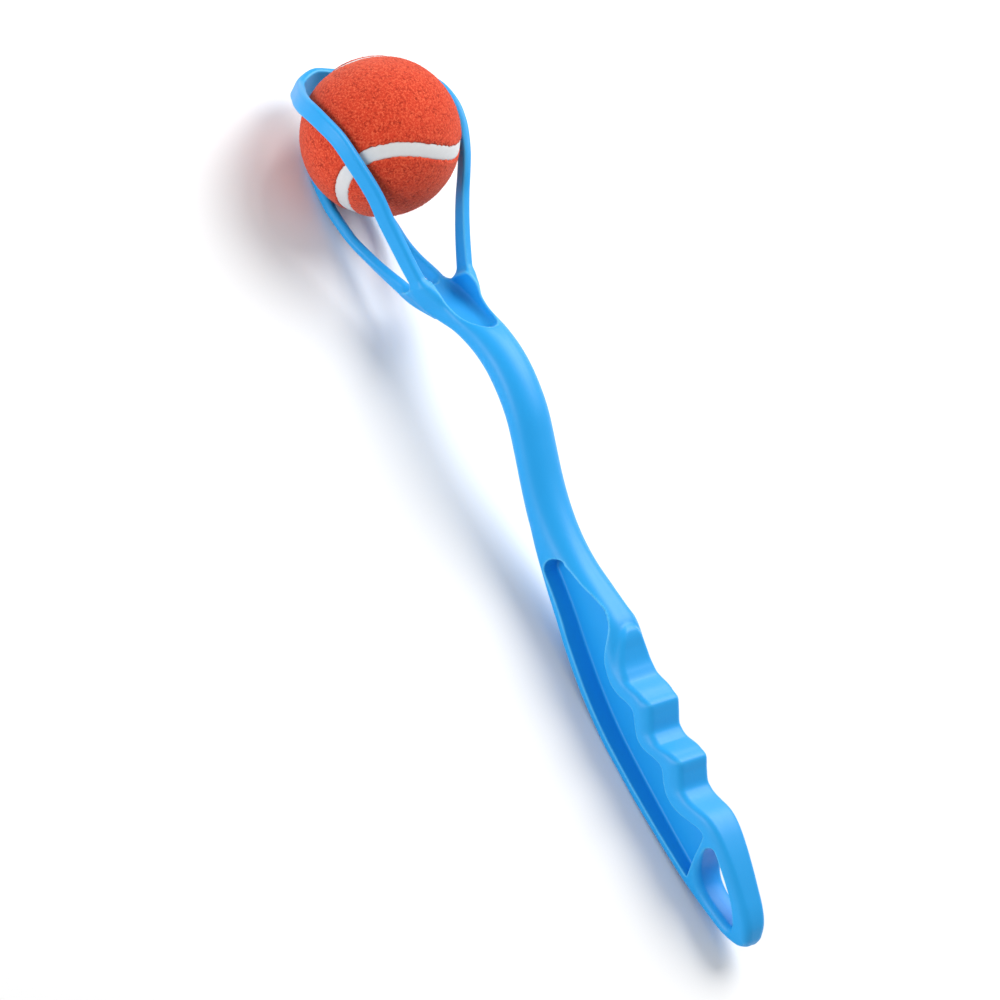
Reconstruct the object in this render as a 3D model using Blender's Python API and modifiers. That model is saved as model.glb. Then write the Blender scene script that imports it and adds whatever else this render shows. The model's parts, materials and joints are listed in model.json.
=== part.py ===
"""Tennis ball launcher: a one-piece moulded thrower with a ball in its open cup.

The mould's own frame has its origin at the ball's centre, +X towards the grip's tail
and +Z out of the cup's mouth side, the front. An empty then lays the launcher down on
the cup's lower loop and the back of its grip.
"""

import math

import bmesh
import bpy
from mathutils import Matrix, Vector

# Driving dimensions, in metres
BALL_DIAMETER = 0.0645
FELT_THICKNESS = 0.0032
CORE_WALL = 0.0035
SEAM_WIDTH = 0.0042
SEAM_SINK = 0.0003
CLEARANCE = 0.0003
CORE_GAP = 0.00045
MERGE_DISTANCE = 0.00001
FORK_DISTANCE = 0.063
HANDLE_LENGTH = 0.290
HANDLE_LIFT = 0.075
HANDLE_HALF_WIDTH = 0.011
TAIL_END_HEIGHT = 0.0022

# Ring over the ball, and the lower loop behind it
RING_BAR_THICKNESS = 0.0040
RING_HOLD_THICKNESS = 0.0034
RING_BAR_HEIGHT = 0.0069
RING_TIP_HEIGHT = 0.0110
RING_OUTER_RADIUS = 0.0019
RING_INNER_RADIUS = 0.0012
LOOP_BAR_THICKNESS = 0.0043
LOOP_BAR_HEIGHT = 0.0052
LOOP_CORNER_RADIUS = 0.0018

# Scoop, side recesses, hanging hole and finger pads
SCOOP_HEADROOM = 0.020
SCOOP_CORNER_RADIUS = 0.0035
WEB_THICKNESS = 0.0030
BACK_FLANGE = 0.0038
RECESS_END_LENGTH = 0.0042
CUT_OVERRUN = 0.0050
PAD_DEPTH = 0.0040
PAD_CORNER_RADIUS = 0.0012
ARC_POINTS = 4
LONG_SPAN_SHARE = 0.012

# Lines along the handle: share of HANDLE_LENGTH from the fork, share of HANDLE_LIFT
BACK_LINE_SHARES = (
    (0.000, -0.040),
    (0.017, 0.008),
    (0.034, 0.056),
    (0.052, 0.115),
    (0.069, 0.176),
    (0.086, 0.219),
    (0.114, 0.276),
    (0.141, 0.316),
    (0.176, 0.343),
    (0.210, 0.351),
    (0.252, 0.336),
    (0.300, 0.309),
    (0.355, 0.283),
    (0.397, 0.284),
    (0.445, 0.309),
    (0.486, 0.324),
    (0.541, 0.332),
    (0.610, 0.353),
    (0.666, 0.388),
    (0.721, 0.440),
    (0.776, 0.500),
    (0.831, 0.563),
    (0.886, 0.632),
    (0.941, 0.719),
    (0.969, 0.769),
    (0.986, 0.813),
    (0.997, 0.856),
    (1.000, 0.880),
)
FRONT_LINE_SHARES = (
    (0.000, 0.184),
    (0.017, 0.224),
    (0.034, 0.253),
    (0.052, 0.300),
    (0.069, 0.360),
    (0.086, 0.419),
    (0.114, 0.483),
    (0.148, 0.524),
    (0.183, 0.543),
    (0.217, 0.545),
    (0.259, 0.525),
    (0.307, 0.503),
    (0.348, 0.501),
    (0.390, 0.520),
    (0.431, 0.560),
    (0.472, 0.625),
    (0.500, 0.673),
    (0.521, 0.701),
    (0.541, 0.701),
    (0.562, 0.683),
    (0.583, 0.675),
    (0.603, 0.704),
    (0.624, 0.763),
    (0.641, 0.784),
    (0.659, 0.763),
    (0.679, 0.741),
    (0.697, 0.781),
    (0.714, 0.847),
    (0.728, 0.867),
    (0.745, 0.843),
    (0.766, 0.827),
    (0.786, 0.877),
    (0.810, 0.952),
    (0.831, 0.984),
    (0.859, 1.000),
    (0.893, 1.005),
    (0.928, 1.001),
    (0.955, 0.993),
    (0.976, 0.971),
    (0.990, 0.936),
    (0.998, 0.911),
    (1.000, 0.896),
)
# Half width: share of HANDLE_LENGTH, share of HANDLE_HALF_WIDTH
HALF_WIDTH_SHARES = (
    (0.000, 1.382),
    (0.017, 1.236),
    (0.034, 1.082),
    (0.052, 0.982),
    (0.069, 0.918),
    (0.086, 0.891),
    (0.197, 0.891),
    (0.334, 0.900),
    (0.438, 0.900),
    (0.486, 0.936),
    (0.528, 0.982),
    (0.590, 1.000),
    (0.645, 0.982),
    (0.700, 0.945),
    (0.755, 0.900),
    (0.810, 0.836),
    (0.859, 0.755),
    (0.914, 0.673),
    (0.955, 0.627),
    (0.979, 0.573),
    (0.993, 0.455),
    (1.000, 0.309),
)
# Corner rounding: share of HANDLE_LENGTH, then front and back corners as shares of the
# section's half width and half depth. All ones is an ellipse
CORNER_SHARES = (
    (0.000, 0.20, 0.36, 0.55, 0.75),
    (0.034, 0.34, 0.55, 0.50, 0.72),
    (0.069, 0.64, 0.95, 0.74, 0.88),
    (0.114, 1.00, 1.00, 1.00, 1.00),
    (0.355, 1.00, 1.00, 1.00, 1.00),
    (0.390, 0.98, 1.00, 0.80, 0.80),
    (0.417, 0.91, 1.00, 0.60, 0.55),
    (0.445, 0.86, 0.91, 0.35, 0.30),
    (0.476, 0.80, 0.80, 0.22, 0.18),
    (0.528, 0.70, 0.60, 0.19, 0.14),
    (0.590, 0.36, 0.34, 0.19, 0.16),
    (0.790, 0.38, 0.34, 0.20, 0.16),
    (0.900, 0.48, 0.42, 0.26, 0.20),
    (0.960, 0.55, 0.50, 0.45, 0.36),
    (0.990, 0.70, 0.72, 0.70, 0.72),
    (1.000, 0.85, 0.85, 0.85, 0.85),
)
# Front edge of the side recesses, down to the back line: share of HANDLE_LENGTH, share of
# HANDLE_LIFT
RIM_LINE_SHARES = (
    (0.426, 0.492),
    (0.438, 0.517),
    (0.459, 0.560),
    (0.479, 0.608),
    (0.500, 0.651),
    (0.517, 0.667),
    (0.531, 0.661),
    (0.548, 0.632),
    (0.566, 0.600),
    (0.583, 0.592),
    (0.600, 0.597),
    (0.617, 0.627),
    (0.631, 0.672),
    (0.643, 0.692),
    (0.659, 0.677),
    (0.679, 0.661),
    (0.697, 0.680),
    (0.714, 0.736),
    (0.729, 0.765),
    (0.748, 0.745),
    (0.769, 0.736),
    (0.790, 0.765),
    (0.810, 0.833),
    (0.824, 0.883),
    (0.834, 0.892),
    (0.845, 0.848),
    (0.859, 0.776),
    (0.872, 0.719),
    (0.881, 0.680),
    (0.891, 0.638),
)
HOLE_OUTLINE_SHARES = (
    (0.853, 0.907),
    (0.860, 0.941),
    (0.893, 0.941),
    (0.931, 0.931),
    (0.952, 0.905),
    (0.964, 0.867),
    (0.962, 0.835),
    (0.941, 0.792),
    (0.917, 0.751),
    (0.897, 0.737),
    (0.879, 0.759),
    (0.864, 0.816),
    (0.854, 0.867),
)
# Raised pads under the fingers: share of HANDLE_LENGTH, share of HANDLE_LIFT, share of
# HANDLE_HALF_WIDTH
PAD_SHARES = (
    (
        (0.5255, 0.709, 0.20),
        (0.533, 0.724, 0.33),
        (0.545, 0.724, 0.52),
        (0.562, 0.707, 0.68),
        (0.579, 0.695, 0.78),
        (0.593, 0.695, 0.80),
        (0.603, 0.704, 0.80),
    ),
    (
        (0.632, 0.790, 0.80),
        (0.643, 0.806, 0.80),
        (0.660, 0.785, 0.80),
        (0.678, 0.759, 0.80),
        (0.688, 0.762, 0.79),
        (0.696, 0.782, 0.78),
    ),
    (
        (0.718, 0.860, 0.76),
        (0.730, 0.887, 0.76),
        (0.748, 0.864, 0.76),
        (0.766, 0.843, 0.75),
        (0.776, 0.846, 0.74),
        (0.784, 0.864, 0.73),
    ),
)
# Scoop in the fork: share of HANDLE_LENGTH from the fork, share of HANDLE_LIFT for its
# floor, share of HANDLE_HALF_WIDTH
SCOOP_SHARES = (
    (-0.004, 0.008, 1.00),
    (0.010, 0.053, 0.99),
    (0.024, 0.098, 0.93),
    (0.038, 0.153, 0.85),
    (0.052, 0.209, 0.77),
    (0.066, 0.272, 0.62),
    (0.074, 0.315, 0.42),
    (0.078, 0.345, 0.20),
    (0.079, 0.360, 0.06),
)
# Ring bar: along the fork as shares of FORK_DISTANCE, SEAT and SEAT, then round the ball
# as shares of SEAT, the radius at which the bar's middle clears the ball
RING_FORK_SHARES = (
    (1.190, 0.362, 0.223),
    (1.016, 0.295, 0.370),
    (0.889, 0.289, 0.449),
    (0.762, 0.300, 0.518),
    (0.635, 0.318, 0.592),
    (0.508, 0.344, 0.671),
)
RING_SEAT_SHARES = (
    (0.695, 0.385, 0.750),
    (0.463, 0.402, 0.842),
    (0.232, 0.391, 0.923),
    (0.058, 0.365, 0.967),
    (-0.116, 0.307, 0.996),
    (-0.318, 0.174, 1.010),
    (-0.463, 0.026, 0.973),
    (-0.579, -0.156, 0.886),
    (-0.671, -0.336, 0.750),
    (-0.747, -0.492, 0.585),
    (-0.816, -0.631, 0.428),
    (-0.868, -0.729, 0.278),
    (-0.894, -0.776, 0.145),
    (-0.900, -0.787, 0.000),
)
LOOP_FORK_SHARES = (
    (1.190, 0.212, 0.200),
    (1.063, 0.035, 0.262),
    (0.952, -0.119, 0.283),
    (0.825, -0.312, 0.294),
    (0.698, -0.473, 0.317),
    (0.571, -0.602, 0.350),
)
LOOP_SEAT_SHARES = (
    (0.700, -0.758, 0.350),
    (0.522, -0.832, 0.328),
    (0.346, -0.898, 0.294),
    (0.173, -0.958, 0.244),
    (0.029, -0.988, 0.183),
    (-0.084, -0.997, 0.098),
    (-0.123, -0.998, 0.000),
)

# Resolution of the solids
BAR_STEP = 0.0048
PATH_STEPS = 4
OUTLINE_STEPS = 2
RECESS_END_STEPS = 8
CORE_SEGMENTS = 24
CORE_ARC_STEPS = 8
PANEL_LENGTH_STEPS = 48
PANEL_WIDTH_STEPS = 8
SEAM_STEPS = 2 * PANEL_LENGTH_STEPS

# How the ball lies in the cup, from the seam that shows: the seam curve's shape and the
# ball's turn about X, Y and Z
SEAM_WAVE_SHARE = 0.132
BALL_TURN_DEGREES = (-76.0, -20.7, 141.9)

BALL_RADIUS = BALL_DIAMETER / 2
SEAT = BALL_RADIUS + CLEARANCE + RING_BAR_THICKNESS / 2
LOOP_SEAT = BALL_RADIUS + CLEARANCE + LOOP_BAR_THICKNESS / 2
COLLECTION_NAME = "tennis_ball_launcher"

MATERIALS = {
    "blue_plastic": ((0.035, 0.360, 0.855), 0.34, 0.0),
    "orange_felt": ((0.750, 0.085, 0.030), 0.95, 0.0),
    "white_seam": ((0.720, 0.700, 0.680), 0.80, 0.0),
    "dark_rubber": ((0.030, 0.030, 0.032), 0.75, 0.0),
}


def clear_scene():
    for item in list(bpy.data.objects):
        bpy.data.objects.remove(item, do_unlink=True)


def make_collection(name):
    group = bpy.data.collections.new(name)
    bpy.context.scene.collection.children.link(group)
    return group


def make_material(name):
    colour, roughness, metallic = MATERIALS[name]
    material = bpy.data.materials.new(name)
    material.use_nodes = True
    shader = material.node_tree.nodes["Principled BSDF"]
    shader.inputs["Base Color"].default_value = (*colour, 1.0)
    shader.inputs["Roughness"].default_value = roughness
    shader.inputs["Metallic"].default_value = metallic
    material.diffuse_color = (*colour, 1.0)
    return material


def catmull_rom(before, start, end, after, t):
    """Point at t on the smooth span from start to end."""
    return 0.5 * (
        2 * start
        + (end - before) * t
        + (2 * before - 5 * start + 4 * end - after) * t ** 2
        + (3 * start - before - 3 * end + after) * t ** 3
    )


def smooth_path(points, steps, closed=False):
    """A finer path through the points, with steps points to each span."""
    count = len(points)
    spans = count if closed else count - 1
    path = []
    for index in range(spans):
        if closed:
            four = [points[(index + shift) % count] for shift in (-1, 0, 1, 2)]
        else:
            four = [points[min(max(index + shift, 0), count - 1)] for shift in (-1, 0, 1, 2)]
        path.extend(catmull_rom(*four, step / steps) for step in range(steps))
    if not closed:
        path.append(points[-1])
    return path


def table_at(table, place, column=1):
    """Value of a table's column at a place along its first column, on a smooth line."""
    last = len(table) - 1
    index = 0
    while index < last - 1 and place > table[index + 1][0]:
        index += 1

    def slope(row):
        low = table[max(row - 1, 0)]
        high = table[min(row + 1, last)]
        return (high[column] - low[column]) / (high[0] - low[0])

    start = table[index]
    end = table[index + 1]
    width = end[0] - start[0]
    t = min(max((place - start[0]) / width, 0.0), 1.0)
    return (
        start[column] * (2 * t ** 3 - 3 * t ** 2 + 1)
        + slope(index) * width * (t ** 3 - 2 * t ** 2 + t)
        + end[column] * (3 * t ** 2 - 2 * t ** 3)
        + slope(index + 1) * width * (t ** 3 - t ** 2)
    )


def along(share):
    return FORK_DISTANCE + share * HANDLE_LENGTH


def share_at(x):
    """The share of the handle's length at a distance from the ball's middle."""
    return (x - FORK_DISTANCE) / HANDLE_LENGTH


def flange_edge(place):
    """Height of the back flange's inner edge at a share of the handle's length."""
    return table_at(BACK_LINE_SHARES, place) * HANDLE_LIFT + BACK_FLANGE


def rounded_section(half_width, low, high, low_corner, high_corner):
    """A closed section with elliptical corners, as (across, up) pairs, anticlockwise."""
    corners = (
        (1, 1, high_corner, 0),
        (-1, 1, high_corner, 1),
        (-1, -1, low_corner, 2),
        (1, -1, low_corner, 3),
    )
    section = []
    for side, end, (corner_across, corner_up), quarter in corners:
        centre_across = side * (half_width - corner_across)
        centre_up = high - corner_up if end > 0 else low + corner_up
        for point in range(ARC_POINTS):
            angle = (quarter + (point + 0.5) / ARC_POINTS) * math.pi / 2
            section.append((
                centre_across + corner_across * math.cos(angle),
                centre_up + corner_up * math.sin(angle),
            ))
    return section


def mesh_from_rings(name, rings, closed=False):
    """Skin a row of equal rings of points, with a cap at each open end."""
    mesh = bmesh.new()
    rows = [[mesh.verts.new(point) for point in ring] for ring in rings]
    count = len(rings[0])
    pairs = list(zip(rows, rows[1:]))
    if closed:
        pairs.append((rows[-1], rows[0]))
    for first, second in pairs:
        for index in range(count):
            after = (index + 1) % count
            mesh.faces.new((first[index], second[index], second[after], first[after]))
    if not closed:
        mesh.faces.new(list(reversed(rows[0])))
        mesh.faces.new(rows[-1])
    bmesh.ops.recalc_face_normals(mesh, faces=mesh.faces)
    data = bpy.data.meshes.new(name)
    mesh.to_mesh(data)
    mesh.free()
    return data


def add_object(name, data, group, material=None):
    item = bpy.data.objects.new(name, data)
    group.objects.link(item)
    if material:
        data.materials.append(material)
    return item


def add_guide(name, data, group):
    """A hidden helper that a Boolean reads."""
    item = add_object(name, data, group)
    item.hide_render = True
    item.display_type = "WIRE"
    return item


def handle_places():
    """Stations along the handle: the front line's own places and one between each."""
    places = []
    for start, end in zip(FRONT_LINE_SHARES, FRONT_LINE_SHARES[1:]):
        places.append(start[0])
        if end[0] - start[0] > LONG_SPAN_SHARE:
            places.append((start[0] + end[0]) / 2)
    places.append(FRONT_LINE_SHARES[-1][0])
    return places


def handle_ring(place):
    """The handle's section at a share of its length."""
    low = table_at(BACK_LINE_SHARES, place) * HANDLE_LIFT
    high = table_at(FRONT_LINE_SHARES, place) * HANDLE_LIFT
    half_width = table_at(HALF_WIDTH_SHARES, place) * HANDLE_HALF_WIDTH
    half_depth = max(high - low, TAIL_END_HEIGHT) / 2
    middle = (low + high) / 2
    front_across, front_up, back_across, back_up = (
        min(table_at(CORNER_SHARES, place, column), 1.0) for column in (1, 2, 3, 4)
    )
    section = rounded_section(
        half_width,
        middle - half_depth,
        middle + half_depth,
        (back_across * half_width, back_up * half_depth),
        (front_across * half_width, front_up * half_depth),
    )
    return [Vector((along(place), across, up)) for across, up in section]


def handle_mesh():
    return mesh_from_rings("handle", [handle_ring(place) for place in handle_places()])


def pad_mesh(name, rows):
    """A low raised pad on the grip's front, sunk into the grip at its foot."""
    rings = []
    for place, lift, width in smooth_rows(rows):
        top = lift * HANDLE_LIFT
        half_width = width * HANDLE_HALF_WIDTH
        corner = min(PAD_CORNER_RADIUS, half_width)
        section = rounded_section(
            half_width, top - PAD_DEPTH, top, (corner, corner), (corner, corner)
        )
        rings.append([Vector((along(place), across, up)) for across, up in section])
    return mesh_from_rings(name, rings)


def smooth_rows(rows):
    path = smooth_path([Vector(row) for row in rows], OUTLINE_STEPS)
    return [tuple(row) for row in path]


def scoop_mesh():
    """The scoop cut into the fork's front, open towards the ball."""
    rings = []
    top = HANDLE_LIFT / 2 + SCOOP_HEADROOM
    for place, floor, width in smooth_rows(SCOOP_SHARES):
        half_width = width * HANDLE_HALF_WIDTH
        corner = min(SCOOP_CORNER_RADIUS, half_width)
        section = rounded_section(
            half_width, floor * HANDLE_LIFT, top, (corner, corner), (corner, corner)
        )
        rings.append([Vector((along(place), across, up)) for across, up in section])
    return mesh_from_rings("scoop", rings)


def bar_path(fork_shares, seat_shares, seat):
    """A bar's middle from one fork side round the ball to the other."""
    near = [Vector((x * FORK_DISTANCE, y * seat, z * seat)) for x, z, y in fork_shares]
    near += [Vector((x * seat, y * seat, z * seat)) for x, z, y in seat_shares]
    far = [Vector((point.x, -point.y, point.z)) for point in reversed(near[:-1])]
    return near + far


def even_path(points, step):
    """The smooth path through points, resampled at an even step with its middle kept."""
    fine = smooth_path(points, 4 * PATH_STEPS)
    lengths = [0.0]
    for start, end in zip(fine, fine[1:]):
        lengths.append(lengths[-1] + (end - start).length)
    count = 2 * round(lengths[-1] / step / 2)
    path = []
    index = 0
    for number in range(count + 1):
        target = lengths[-1] * number / count
        while index < len(fine) - 2 and lengths[index + 1] < target:
            index += 1
        span = lengths[index + 1] - lengths[index]
        path.append(fine[index].lerp(fine[index + 1], (target - lengths[index]) / span))
    return path


def bar_outward(point):
    """The bar's outer side faces away from the ball, and sideways at the fork."""
    hold = 1 - min(max(point.x / FORK_DISTANCE, 0.0), 1.0)
    return Vector((point.x * hold, point.y, point.z * hold))


def bar_mesh(name, path, sizes):
    """Sweep a rounded bar along a path. At each point, sizes gives its height, its
    thickness and its inner and outer corner radii."""
    rings = []
    for index, point in enumerate(path):
        ahead = path[min(index + 1, len(path) - 1)]
        behind = path[max(index - 1, 0)]
        forward = (ahead - behind).normalized()
        outward = bar_outward(point)
        outward = (outward - forward * outward.dot(forward)).normalized()
        upward = forward.cross(outward)
        height, thickness, inner, outer = sizes(point)
        section = rounded_section(
            height / 2, -thickness / 2, thickness / 2, (inner, inner), (outer, outer)
        )
        rings.append([point + upward * across + outward * out for across, out in section])
    return mesh_from_rings(name, rings)


def ring_sizes(point):
    """Bar size at a place: thinner where it holds the ball, taller towards the tip."""
    hold = min(max(1 - point.x / FORK_DISTANCE, 0.0), 1.0) ** 2
    tip = min(max(-point.x / SEAT, 0.0), 1.0) ** 3
    height = RING_BAR_HEIGHT + (RING_TIP_HEIGHT - RING_BAR_HEIGHT) * tip
    thickness = RING_BAR_THICKNESS + (RING_HOLD_THICKNESS - RING_BAR_THICKNESS) * hold
    outer = min(RING_OUTER_RADIUS, thickness / 2)
    return height, thickness, RING_INNER_RADIUS, outer


def loop_sizes(point):
    return LOOP_BAR_HEIGHT, LOOP_BAR_THICKNESS, LOOP_CORNER_RADIUS, LOOP_CORNER_RADIUS


def outline_solid(name, outline, half_depth, side, group):
    """A flat outline in X and Z with a thickness in Y, as a closed mesh."""
    curve = bpy.data.curves.new(name, "CURVE")
    curve.dimensions = "2D"
    curve.fill_mode = "BOTH"
    curve.extrude = half_depth
    spline = curve.splines.new("POLY")
    spline.points.add(len(outline) - 1)
    for point, (x, z) in zip(spline.points, outline):
        point.co = (x, z, 0.0, 1.0)
    spline.use_cyclic_u = True
    drawn = add_object(name + "_curve", curve, group)
    drawn.matrix_world = Matrix.Translation((0.0, side, 0.0)) @ Matrix.Rotation(math.pi / 2, 4, "X")
    bpy.context.view_layer.update()
    evaluated = drawn.evaluated_get(bpy.context.evaluated_depsgraph_get())
    data = bpy.data.meshes.new_from_object(evaluated)
    mesh = bmesh.new()
    mesh.from_mesh(data)
    bmesh.ops.remove_doubles(mesh, verts=mesh.verts, dist=MERGE_DISTANCE)
    bmesh.ops.recalc_face_normals(mesh, faces=mesh.faces)
    mesh.to_mesh(data)
    mesh.free()
    solid = add_guide(name, data, group)
    solid.matrix_world = drawn.matrix_world.copy()
    bpy.data.objects.remove(drawn, do_unlink=True)
    return solid


def recess_rim():
    """The recess's front edge, down to where it meets the back flange's inner edge."""
    rim = [Vector((along(place), lift * HANDLE_LIFT)) for place, lift in RIM_LINE_SHARES]
    path = smooth_path(rim, OUTLINE_STEPS)
    gaps = [point.y - flange_edge(share_at(point.x)) for point in path]
    count = next(index for index, gap in enumerate(gaps) if gap <= 0)
    above = count - 1
    way = gaps[above] / (gaps[above] - gaps[count])
    return path[:count] + [path[above].lerp(path[count], way)]


def recess_outline():
    """The side recess: its scalloped front edge, the back flange's inner edge, and a
    round end towards the fork."""
    front = recess_rim()
    first = share_at(front[0].x)
    last = share_at(front[-1].x)
    back = []
    places = [row[0] for row in BACK_LINE_SHARES if first < row[0] < last]
    for place in list(reversed(places)) + [first]:
        back.append(Vector((along(place), flange_edge(place))))
    middle = (front[0] + back[-1]) / 2
    half_height = (front[0].y - back[-1].y) / 2
    end = []
    for step in range(1, RECESS_END_STEPS):
        angle = math.pi * step / RECESS_END_STEPS
        end.append(Vector((
            middle.x - RECESS_END_LENGTH * math.sin(angle),
            middle.y - half_height * math.cos(angle),
        )))
    return front + back + end


def hole_outline():
    corners = [Vector((along(x), lift * HANDLE_LIFT)) for x, lift in HOLE_OUTLINE_SHARES]
    return smooth_path(corners, 2 * OUTLINE_STEPS, closed=True)


def add_boolean(item, operation, other):
    modifier = item.modifiers.new(other.name, "BOOLEAN")
    modifier.operation = operation
    modifier.solver = "EXACT"
    modifier.object = other


def build_moulding(group, guides, material):
    """The whole launcher: one injection moulding."""
    moulding = add_object("launcher_moulding", handle_mesh(), group, material)
    added = [
        add_guide(f"finger_pad_{number}", pad_mesh(f"finger_pad_{number}", rows), guides)
        for number, rows in enumerate(PAD_SHARES, start=1)
    ]
    ring_path = even_path(bar_path(RING_FORK_SHARES, RING_SEAT_SHARES, SEAT), BAR_STEP)
    loop_path = even_path(bar_path(LOOP_FORK_SHARES, LOOP_SEAT_SHARES, LOOP_SEAT), BAR_STEP)
    added.append(add_guide("ring_bar", bar_mesh("ring_bar", ring_path, ring_sizes), guides))
    added.append(add_guide("loop_bar", bar_mesh("loop_bar", loop_path, loop_sizes), guides))
    for item in added:
        add_boolean(moulding, "UNION", item)

    recess_depth = HANDLE_HALF_WIDTH + CUT_OVERRUN
    recess_side = WEB_THICKNESS / 2 + recess_depth / 2
    outline = recess_outline()
    cutters = [
        outline_solid("near_recess", outline, recess_depth / 2, -recess_side, guides),
        outline_solid("far_recess", outline, recess_depth / 2, recess_side, guides),
        outline_solid("hanging_hole", hole_outline(), recess_depth, 0.0, guides),
        add_guide("scoop", scoop_mesh(), guides),
    ]
    for item in cutters:
        add_boolean(moulding, "DIFFERENCE", item)
    moulding.data.shade_smooth()
    moulding.data.set_sharp_from_angle(angle=math.radians(35))
    return moulding


def seam_point(t):
    """A point of the ball's seam on a sphere of radius one, and its direction there."""
    wide = 1 - SEAM_WAVE_SHARE
    wave = SEAM_WAVE_SHARE
    rise = 2 * math.sqrt(wide * wave)
    point = Vector((
        wide * math.cos(t) + wave * math.cos(3 * t),
        wide * math.sin(t) - wave * math.sin(3 * t),
        rise * math.sin(2 * t),
    ))
    heading = Vector((
        -wide * math.sin(t) - 3 * wave * math.sin(3 * t),
        wide * math.cos(t) - 3 * wave * math.cos(3 * t),
        2 * rise * math.cos(2 * t),
    ))
    return point.normalized(), heading.normalized()


def beside_seam(t, distance):
    """A point on the unit sphere, a distance along the ball's surface beside the seam."""
    point, heading = seam_point(t)
    sideways = point.cross(heading).normalized()
    angle = distance / BALL_RADIUS
    return point * math.cos(angle) + sideways * math.sin(angle)


def panel_surface():
    """One dumbbell-shaped felt panel, between the two runs of the seam that bound it."""
    middle = 3 * math.pi / 4
    edge = SEAM_WIDTH / 2 + CLEARANCE
    mesh = bmesh.new()
    rows = []
    for step in range(PANEL_LENGTH_STEPS + 1):
        reach = math.pi * step / PANEL_LENGTH_STEPS
        left = beside_seam(middle - reach, edge)
        right = beside_seam(middle + reach, edge)
        if step in (0, PANEL_LENGTH_STEPS):
            rows.append([mesh.verts.new(left * BALL_RADIUS)])
            continue
        row = []
        for column in range(PANEL_WIDTH_STEPS + 1):
            point = left.slerp(right, column / PANEL_WIDTH_STEPS)
            row.append(mesh.verts.new(point * BALL_RADIUS))
        rows.append(row)
    for first, second in zip(rows, rows[1:]):
        for column in range(PANEL_WIDTH_STEPS):
            if len(first) == 1:
                mesh.faces.new((first[0], second[column], second[column + 1]))
            elif len(second) == 1:
                mesh.faces.new((first[column], second[0], first[column + 1]))
            else:
                mesh.faces.new((
                    first[column], second[column], second[column + 1], first[column + 1]
                ))
    return mesh


def seam_surface(radius):
    """The seam's strip between the two panels, a little below their face."""
    mesh = bmesh.new()
    rows = []
    for step in range(SEAM_STEPS):
        t = 2 * math.pi * step / SEAM_STEPS
        rows.append([
            mesh.verts.new(beside_seam(t, side * SEAM_WIDTH / 2) * radius)
            for side in (-1, 0, 1)
        ])
    for index, first in enumerate(rows):
        second = rows[(index + 1) % SEAM_STEPS]
        for column in (0, 1):
            mesh.faces.new((
                first[column], second[column], second[column + 1], first[column + 1]
            ))
    return mesh


def shell_data(name, mesh, radius, thickness):
    """Thicken a patch of the ball's surface straight towards the ball's centre."""
    grown = bmesh.ops.extrude_face_region(mesh, geom=list(mesh.faces), use_keep_orig=True)
    inner = [item for item in grown["geom"] if isinstance(item, bmesh.types.BMVert)]
    for vert in inner:
        vert.co *= (radius - thickness) / radius
    bmesh.ops.recalc_face_normals(mesh, faces=mesh.faces)
    data = bpy.data.meshes.new(name)
    mesh.to_mesh(data)
    mesh.free()
    data.shade_smooth()
    data.set_sharp_from_angle(angle=math.radians(35))
    return data


def core_half(name, group):
    """Half of the hollow core, turned from its outer arc, its rim and its inner arc."""
    outer = BALL_RADIUS - FELT_THICKNESS - CORE_GAP
    inner = outer - CORE_WALL
    quarter = math.pi / 2
    angles = [quarter * step / CORE_ARC_STEPS for step in range(CORE_ARC_STEPS + 1)]
    profile = [(outer * math.sin(angle), 0.0, outer * math.cos(angle)) for angle in angles]
    profile += [
        (inner * math.sin(angle), 0.0, inner * math.cos(angle)) for angle in reversed(angles)
    ]
    profile[0] = (0.0, 0.0, outer)
    profile[-1] = (0.0, 0.0, inner)
    data = bpy.data.meshes.new(name)
    edges = [(index, index + 1) for index in range(len(profile) - 1)]
    data.from_pydata(profile, edges, [])
    half = add_object(name, data, group)
    turning = half.modifiers.new("turning", "SCREW")
    turning.axis = "Z"
    turning.steps = CORE_SEGMENTS
    turning.render_steps = CORE_SEGMENTS
    turning.use_merge_vertices = True
    turning.merge_threshold = MERGE_DISTANCE
    return half


def build_ball(group, frame, materials):
    """The ball: two rubber half shells under two felt panels and the seam between them."""
    turn = bpy.data.objects.new("ball_frame", None)
    group.objects.link(turn)
    turn.parent = frame
    turn.rotation_euler = [math.radians(angle) for angle in BALL_TURN_DEGREES]

    for letter, flip in (("a", 0.0), ("b", math.pi)):
        half = core_half(f"ball_core_half_{letter}", group)
        half.data.materials.append(materials["dark_rubber"])
        half.parent = turn
        half.rotation_euler = (flip, 0.0, 0.0)
        half.location = (0.0, 0.0, math.cos(flip) * CLEARANCE / 2)

    panel = shell_data("felt_panel", panel_surface(), BALL_RADIUS, FELT_THICKNESS)
    panel.materials.append(materials["orange_felt"])
    for letter, flip in (("a", 0.0), ("b", math.pi)):
        felt = add_object(f"felt_panel_{letter}", panel, group)
        felt.parent = turn
        felt.rotation_euler = (flip, 0.0, 0.0)

    radius = BALL_RADIUS - SEAM_SINK
    thickness = FELT_THICKNESS - SEAM_SINK
    strip = shell_data("ball_seam", seam_surface(radius), radius, thickness)
    seam = add_object("ball_seam", strip, group, materials["white_seam"])
    seam.parent = turn


def world_points(item):
    bpy.context.view_layer.update()
    evaluated = item.evaluated_get(bpy.context.evaluated_depsgraph_get())
    data = evaluated.to_mesh()
    points = [evaluated.matrix_world @ vert.co for vert in data.vertices]
    evaluated.to_mesh_clear()
    return points


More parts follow.
